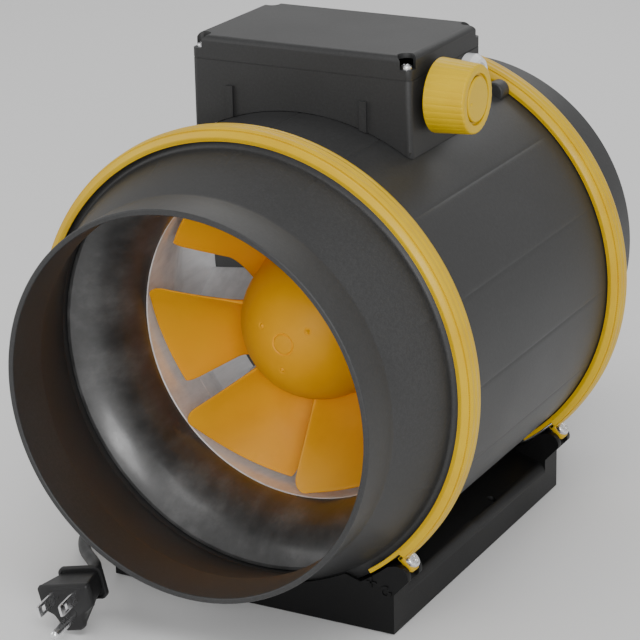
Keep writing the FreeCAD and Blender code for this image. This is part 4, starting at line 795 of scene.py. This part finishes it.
def makeImpeller():
    w = wheel
    fine = [np.linspace(0, 12, 40), np.linspace(12.3, 26, 46), np.linspace(27, 90, 50)]
    turn = np.radians(np.concatenate(fine))
    dome = np.stack([w["domeCentre"] - w["domeRadius"] * np.cos(turn), w["domeRadius"] * np.sin(turn)], -1)
    angles = ringAngles(320)[:, None]
    lift = domeMarks(angles, dome[None, :, 0] + 0 * angles, dome[None, :, 1] + 0 * angles)
    radius = dome[None, :, 1] + lift * np.sin(turn)[None]
    along = dome[None, :, 0] - lift * np.cos(turn)[None]
    skirt = np.array([(w["domeCentre"] + 3, 42.8), (w["rear"] - 1, w["rearRadius"] - 0.3),
                      (w["rear"], w["rearRadius"] - 0.9), (w["rear"], 48), (w["domeCentre"] + 7, 41.3),
                      (w["domeCentre"] + 7, w["can"]), (w["rear"] - 5, w["can"]),
                      (w["rear"] - 5, w["canLip"]), (-34.5, w["canLip"]), (-45, 30.8), (-55, 20), (-61, 0)])
    radius = np.concatenate([radius, skirt[None, :, 1] + 0 * angles], 1)
    along = np.concatenate([along, skirt[None, :, 0] + 0 * angles], 1)
    hub = np.stack([radius * np.cos(angles), along, axisHeight + radius * np.sin(angles)], -1)
    parts = [gridPart(hub, True, False)]
    share = np.concatenate([[0, 0.004, 0.01], np.linspace(0.02, 0.98, 44), [0.99, 0.996, 1]])
    plane, half = w["throatPlane"], math.radians(w["span"] / 2)
    root, tip = w["domeRadius"] * 0.72, w["tipFront"]
    height = root + (tip - root) * share
    reach = height * np.tan(half - math.radians(1.5) * (1 - share))
    lean = math.radians(w["rootSweep"]) * np.clip(1 - (share - 0.08) / 0.34, 0, 1) ** 1.6
    corner = 1 - np.sqrt(np.clip(1 - (np.clip(share - 0.86, 0, 1) / 0.14) ** 2, 0, 1))
    lead = np.stack([reach, plane + 20.5 - 24.5 * share], -1)
    rearward = w["rear"] - 1 + (plane + 23 - w["rear"] + 1) * share
    trail = np.stack([-height * np.tan(half + lean), rearward], -1)
    lead = lead + (trail - lead) * 0.1 * corner[:, None]
    trail = trail + (lead - trail) * 0.03 * corner[:, None]
    thick = (3.2 - 1.2 * share + 3.0 * np.exp(-share / 0.05)) * closing(share)
    section = bladeSection(share, lead, trail, -(4.5 - 1.5 * share), thick, 0.6)
    place = section[..., 1]
    inner = hubRadius(place) - 1.2
    outer = w["tipFront"] + w["slope"] * np.maximum(place - plane - 4, -4)
    blade = toRadius(section, height[:, None], inner + (outer - inner) * share[:, None])
    parts += copiesRound(blade, w["blades"], w["first"] + w["span"] / 2)
    makePiece("impellerShell", parts, rotorBody, ["impeller"], "orange_impeller", 40)


makeImpeller()
print("impeller made")


# ---- speed knob

knob = {"root": 66.0, "face": 87.5, "radius": 19.0, "faceRadius": 17.5, "flutes": 32, "flute": 0.28,
        "stem": 3.02, "rim": 13, "seat": 11.5, "socket": 9.5, "disc": 0.25, "edge": 0.9}


def makeKnob():
    k = knob
    face, root = k["face"], k["root"]
    along, height = (sum(span("potentiometer_shaft", axis)) / 2 for axis in (1, 2))
    loop = roundedLoop([(root, k["radius"], 0.6), (face, k["faceRadius"], 1.4), (face, k["rim"], 0.4),
                        (face - 1.6, k["rim"], 0), (face - 1.6, k["seat"] + 0.2, 0),
                        (face - 4.3, k["seat"], 0), (face - 4.3, k["stem"], 0), (root + 3, k["stem"], 0.2),
                        (root + 3, k["socket"], 1), (root, k["socket"], 0.5)], 8)
    angles = ringAngles(720)[:, None]
    radius = loop[None, :, 1] + 0 * angles
    place = loop[None, :, 0] + 0 * angles
    ripple = np.abs(np.sin(angles * k["flutes"] / 2)) ** 0.6
    wall = smoothStep(14.5, 17.0, radius) * smoothStep(root + 0.2, root + 1.2, place)
    radius = radius - k["flute"] * (1 - ripple) * wall
    shell = np.stack([place, along + radius * np.cos(angles), height + radius * np.sin(angles)], -1)
    makePiece("knobShell", [gridPart(shell, True, True)], knobBody, ["speed_knob"], "knob_yellow", 32)
    flat, edge = k["seat"] - k["edge"], k["edge"]
    bend = np.linspace(0.15, 1, 6) * math.pi / 2
    radii = np.concatenate([np.linspace(0, flat, 60), flat + edge * np.sin(bend)])
    rise = np.concatenate([np.full(60, k["disc"]), k["disc"] - edge * (1 - np.cos(bend))])
    angles = ringAngles(240)[:, None]
    y, z = radii[None] * np.cos(angles), radii[None] * np.sin(angles)
    dot = np.exp(-(np.hypot(y + 8.4, z + 0.6) / 0.7) ** 2)
    x = face + rise[None] - 0.7 * dot
    y, z, x = withRows(y, z, x, np.array([(k["seat"], face - 1.18), (0, face - 1.18)]), angles)
    disc = np.stack([x, along + y, height + z], -1)
    makePiece("knobDisc", [gridPart(disc, True, False)], knobBody, ["knob_cap"], "knob_yellow", 40)


makeKnob()
print("knob made")


# ---- mains lead and plug

cordSize = {"thickness": 6.5, "facets": 8, "perSpan": 6}
hangingRoute = [(-45, 78, 256), (-46.5, 100, 254), (-54, 119, 244.5), (-66.5, 129, 229),
                (-80.5, 130.5, 211.5), (-94, 131.5, 194), (-106.5, 131, 175), (-115, 129.5, 154.5),
                (-120.5, 128, 132.5), (-123, 126, 110.5), (-124.5, 124, 88), (-124.5, 122.5, 66.5),
                (-122, 123, 45), (-111, 123.5, 27.5), (-91, 124, 20), (-69, 125.5, 18.8)]
floorRoute = [(-88, 150, 4.1), (-94.5, 121, 3.4), (-107, 83, 3.5), (-119.5, 34, 3.4),
              (-126.5, -14, 3.5), (-125, -52, 3.9), (-115.5, -82, 6), (-101, -104, 9.8),
              (-87, -119, 14), (-75.5, -131, 17.2), (-69.3, -141.5, 18.1)]
coil = {"centre": (-45, 168), "outer": 41.7, "inner": 34.7, "levels": (18.6, 11.65, 4.7),
        "perTurn": 24, "first": -90, "last": 1260, "shift": 55}


def coilRoute():
    # angle by angle: outer top, inner top, inner middle, outer middle, outer bottom lane
    c = coil
    angle = np.arange(c["first"], c["last"] + 1, 360 / c["perTurn"])
    lanes = [(190, "inner", 0), (495, "inner", 1), (800, "outer", 1), (1105, "outer", 2)]
    radius = np.full(len(angle), float(c["outer"]))
    height = np.full(len(angle), float(c["levels"][0]))
    for start, side, level in lanes:
        t = smoothStep(start, start + c["shift"], angle)
        radius = radius + t * (c[side] - radius)
        height = height + t * (c["levels"][level] - height)
    radius = radius / math.cos(math.pi / c["perTurn"])
    turn = np.radians(angle)
    x, y = c["centre"]
    return list(zip(x + radius * np.cos(turn), y + radius * np.sin(turn), height))


def makeLead():
    route = np.array(hangingRoute + coilRoute() + floorRoute) * mm
    curve = bpy.data.curves.new("mainsLead", "CURVE")
    curve.dimensions = "3D"
    curve.bevel_depth = cordSize["thickness"] / 2 * mm
    curve.bevel_resolution = cordSize["facets"]
    curve.use_fill_caps = True
    curve.resolution_u = cordSize["perSpan"]
    spline = curve.splines.new("NURBS")
    spline.points.add(len(route) - 1)
    places = np.column_stack([route, np.ones(len(route))])
    spline.points.foreach_set("co", places.astype(np.float32).ravel())
    spline.order_u = 3
    spline.use_endpoint_u = True
    curve.materials.append(slotFinish["cord_black"])
    lead = bpy.data.objects.new("mainsLead", curve)
    bpy.context.scene.collection.objects.link(lead)
    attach(lead, casingBody)
    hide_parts("cord_hanging", "cord_floor", "cord_coil")
    # length along (1 - t)^2 start + 2t(1 - t) control + t^2 end, span by span
    middle = (route[1:] + route[:-1]) / 2
    t = np.linspace(0, 1, 8, endpoint=False)[None, :, None]
    start, control, end = middle[:-1, None], route[1:-1, None], middle[1:, None]
    dense = ((1 - t) ** 2 * start + 2 * t * (1 - t) * control + t ** 2 * end).reshape(-1, 3)
    dense = np.vstack([route[:1], dense, middle[-1:], route[-1:]])
    length = float(np.linalg.norm(np.diff(dense, axis=0), axis=1).sum())
    print("lead length", round(length, 3), "m")
    return lead, length


plug = {"axis": (0.11, -0.993, -0.048), "roll": 11.7, "tail": (-69.3, -141.5, 18.1), "relief": 12.5,
        "flange": (11.0, 14.5), "body": (14.0, 33.5), "bladeGap": 6.35, "bladeHalf": 0.75, "bladeLow": 1,
        "bladeTop": 7.2, "pinRadius": 2.4, "pinDrop": -8.0, "pinLength": 16.6}


def bothSides(half):
    # an outline whose right half is given from the top down, as (a, b, radius) corners
    return half + [(-a, b, r) for a, b, r in half[::-1]]


def ringsOf(outline, levels, insets, centre=None):
    # an outline at several places along the plug, drawn in towards its middle by an inset in millimetres
    middle = outline.mean(0) if centre is None else np.array(centre)
    away = outline - middle
    reach = np.linalg.norm(away, axis=1, keepdims=True)
    rings = middle + away[None] * (1 - np.array(insets)[:, None, None] / reach[None])
    return atLevels(rings, levels)


def makePlug():
    forward = unit(np.array([plug["axis"]], float))[0]
    level = unit(np.array([[-forward[1], forward[0], 0]]))[0]
    roll = math.radians(plug["roll"])
    across = level * math.cos(roll) + np.cross(forward, level) * math.sin(roll)
    up = np.cross(forward, across)

    def solid(rings):
        # rings given across, up and along the plug, as one closed part at the plug's place
        return gridPart(placed(rings, plug["tail"], across, up, forward), False, True, True)

    start, end = plug["body"]
    face = roundedLoop(bothSides([(15.2, 10.5, 1.6), (15.2, -2, 3), (9.6, -6, 5), (7.6, -10, 3),
                                  (7, -13.4, 3), (4.3, -15.5, 2.5)]), 8)
    rear = roundedLoop(bothSides([(10.5, 8.5, 1.6), (10.5, -1, 2), (8.6, -3, 3), (7.4, -4.4, 2),
                                  (6.6, -5.8, 1), (4.5, -7, 1.5)]), 8)
    away = face - np.array([0, -1.0])
    reach = np.linalg.norm(away, axis=1, keepdims=True)
    edge = end - 3.4
    levels = [start, start + 6, edge - 1, edge, edge + 0.5, end - 0.9, end - 0.25, end]
    rings = [rear + (face - rear) * ((level - start) / (end - start)) for level in levels[:4]]
    rings += [away * (1 - inset / reach) + np.array([0, -1.0]) for inset in (0.35, 0.75, 1.25, 2.2)]
    body = atLevels(np.stack(rings), levels)
    rim = roundedLoop([(-12.5, 11, 3), (12.5, 11, 3), (12.5, -5, 3), (10.2, -7, 2), (-10.2, -7, 2),
                       (-12.5, -5, 3)], 8)
    first, last = plug["flange"]
    flange = ringsOf(rim, [first, first + 0.7, last - 0.9, last - 0.2, last, last - 0.15, last - 0.9],
                     [0.9, 0, 0, 0.25, 0.9, 1.7, 2.1], (0, 1.5))
    around = ringAngles(40)
    circle = np.stack([np.cos(around), np.sin(around)], -1)

    def roundBar(radii, levels, centre=(0, 0)):
        # circles of the given radii at the given places along the plug
        discs = circle[None] * radii[:, None, None] + np.array(centre)
        return atLevels(discs, levels)

    steps = np.linspace(0, plug["relief"], 57)
    neck = 4.4 + 1.0 * steps / plug["relief"] - 0.45 * (np.cos(steps * 2 * math.pi / 3.2) > 0.2)
    neck[0] = 3.4
    parts = [solid(body), solid(flange), solid(roundBar(neck, steps))]
    ring = roundedLoop(fourCorners(-10.2, 10.2, 7.4, 8.1, 1, 1, 0.5, 0.5), 5)
    parts.append(solid(ringsOf(ring, [end - 1, end - 0.1, end + 0.12], [0, 0, 0.15])))
    for place in ((-1.5, 3.2), (2.2, -5.0)):
        disc = circle * 2.6 + np.array(place)
        parts.append(solid(ringsOf(disc, [end - 0.6, end + 0.08, end + 0.16, end + 0.16, end - 0.1],
                                   [0, 0, 0.15, 0.55, 0.75])))
    body = makePiece("plugShell", parts, casingBody, ["plug_body"], "plug_black", 38)
    half, low, top = plug["bladeHalf"], plug["bladeLow"], plug["bladeTop"]
    blades = []
    for centre in (-plug["bladeGap"], plug["bladeGap"]):
        left, right = centre - half, centre + half
        strip = roundedLoop(fourCorners(left, right, low, top, 0.3, 0.3, 0.3, 0.3), 4)
        blades.append(solid(ringsOf(strip, [end - 1.5, end + 9.6, end + 9.9], [0, 0, 0.1])))
        for near, far in ((low, 2.6), (5.6, top)):
            slip = roundedLoop(fourCorners(left, right, near, far, 0.25, 0.25, 0.25, 0.25), 4)
            blades.append(solid(ringsOf(slip, [end + 9.4, end + 13.2], [0, 0])))
        blades.append(solid(ringsOf(strip, [end + 12.9, end + 14.6, end + 16], [0, 0, 0.45])))
    makePiece("plugBladePair", blades, casingBody, ["plug_blades"], "bright_screw", 35)
    radius, tip = plug["pinRadius"], end + plug["pinLength"]
    rows = np.concatenate([[end - 1.5], np.linspace(end, tip, 6),
                           tip + (radius - 0.05) * np.sin(np.linspace(0.15, 1, 8) * math.pi / 2)])
    radii = np.concatenate([np.full(7, radius), radius * np.cos(np.linspace(0.15, 0.995, 8) * math.pi / 2)])
    pinPiece = makePiece("plugEarthPin", [solid(roundBar(radii, rows, (0, plug["pinDrop"])))],
                         casingBody, ["plug_earth_pin"], "bright_screw", 35)
    return body, pinPiece


lead, leadLength = makeLead()
plugBody, earthPin = makePlug()
print("lead and plug made")


# ---- marks on the foot, and softened edges on the parts that stay as they are

footMark = {"sunk": 0.3, "hookX": 77.5, "hookZ": 22.5, "hookOuter": 3.4, "hookInner": 1.7,
            "crossX": 69.5, "crossZ": 26.5, "arm": 3, "bar": 0.5}


def makeFootMarks():
    # the hooked boss and the cross-shaped mark on the front of the foot
    m = footMark
    front = span("base_foot", 1)[0] + m["sunk"]
    parts = []
    around = np.linspace(0.35 * math.pi, 2.05 * math.pi, 48)
    arc = np.stack([np.cos(around), np.sin(around)], -1)
    hook = np.concatenate([m["hookOuter"] * arc, m["hookInner"] * arc[::-1]])
    shapes = [((m["hookX"], front, m["hookZ"]), hook)]
    for wide, tall in ((m["arm"], m["bar"]), (m["bar"], m["arm"])):
        bar = roundedLoop(fourCorners(-wide, wide, -tall, tall, 0.3, 0.3, 0.3, 0.3), 4)
        shapes.append(((m["crossX"], front, m["crossZ"]), bar))
    for place, outline in shapes:
        rings = ringsOf(outline, [0, 0.7, 0.9], [0, 0, 0], (0, 0))
        parts.append(gridPart(placed(rings, place, (1, 0, 0), (0, 0, 1), (0, -1, 0)), False, True, True))
    makePiece("footMarks", parts, casingBody, [], "black_plastic", 40)


makeFootMarks()
softened = {"base_foot": 0.9, "terminal_box": 0.5, "box_lid": 0.5}
for name, width in softened.items():
    weld = nodes[name].modifiers.new("join", "WELD")
    weld.merge_threshold = 1e-5
    bevel = nodes[name].modifiers.new("soften", "BEVEL")
    bevel.width = width * mm
    bevel.segments = 2
    bevel.limit_method = "ANGLE"
    bevel.angle_limit = math.radians(40)
    bevel.harden_normals = False
print("foot marks and soft edges made")


# ---- floor, light and camera

studio = {"floor": (0.86, 0.86, 0.86), "reach": 6.0, "below": -0.0006, "world": 0.6, "target": (0, 0, 0.13)}
lights = {
    "keyLight": ((0.5, -0.7, 1.6), (1.0, 0.8), 8.0),
    "leftLight": ((-1.3, -0.8, 0.8), (0.7, 1.2), 6.0),
    "rightLight": ((1.5, 0.3, 0.9), (0.6, 1.3), 1.5),
    "backLight": ((-0.3, 1.4, 1.2), (1.4, 0.5), 5.0),
    "frontLight": ((0.95, -1.7, 0.75), (0.8, 0.6), 17.0),
}
view = {"azimuth": 28.3, "elevation": 19.86, "roll": -1.12, "target": (-0.01234, 0, 0.11883),
        "distance": 1.36068, "lens": 143.33, "sensor": 36}


def makeStage():
    mesh = bpy.data.meshes.new("floor")
    reach, below = studio["reach"], studio["below"]
    corners = ((-reach, -reach), (reach, -reach), (reach, reach), (-reach, reach))
    mesh.from_pydata([(x, y, below) for x, y in corners], [], [(0, 1, 2, 3)])
    floor = bpy.data.objects.new("floor", mesh)
    bpy.context.scene.collection.objects.link(floor)
    paint = Finish("floorPaint", Roughness=0.9)
    paint.shader.inputs["Base Color"].default_value = (*studio["floor"], 1)
    mesh.materials.append(paint.material)
    world = bpy.data.worlds.new("studio")
    world.use_nodes = True
    bpy.context.scene.world = world
    background = world.node_tree.nodes["Background"]
    background.inputs[0].default_value = (1, 1, 1, 1)
    background.inputs[1].default_value = studio["world"]


def makeLight(name, place, size, power):
    data = bpy.data.lights.new(name, "AREA")
    data.shape = "RECTANGLE"
    data.size, data.size_y = size
    data.energy = power
    light = bpy.data.objects.new(name, data)
    light.location = place
    light.rotation_mode = "QUATERNION"
    light.rotation_quaternion = (Vector(studio["target"]) - Vector(place)).to_track_quat("-Z", "Y")
    bpy.context.scene.collection.objects.link(light)


def makeCamera():
    azimuth, elevation, roll = (math.radians(view[k]) for k in ("azimuth", "elevation", "roll"))
    level = math.cos(elevation)
    back = Vector((math.sin(azimuth) * level, -math.cos(azimuth) * level, math.sin(elevation)))
    right = Vector((math.cos(azimuth), math.sin(azimuth), 0))
    up = back.cross(right)
    rolledRight = right * math.cos(roll) + up * math.sin(roll)
    rolledUp = up * math.cos(roll) - right * math.sin(roll)
    data = bpy.data.cameras.new("camera")
    data.lens = view["lens"]
    data.sensor_width = view["sensor"]
    camera = bpy.data.objects.new("camera", data)
    place = Vector(view["target"]) + back * view["distance"]
    camera.matrix_world = Matrix((
        (rolledRight.x, rolledUp.x, back.x, place.x), (rolledRight.y, rolledUp.y, back.y, place.y),
        (rolledRight.z, rolledUp.z, back.z, place.z), (0, 0, 0, 1)))
    bpy.context.scene.collection.objects.link(camera)
    bpy.context.scene.camera = camera


makeStage()
for name, setting in lights.items():
    makeLight(name, *setting)
makeCamera()

print("scene made")
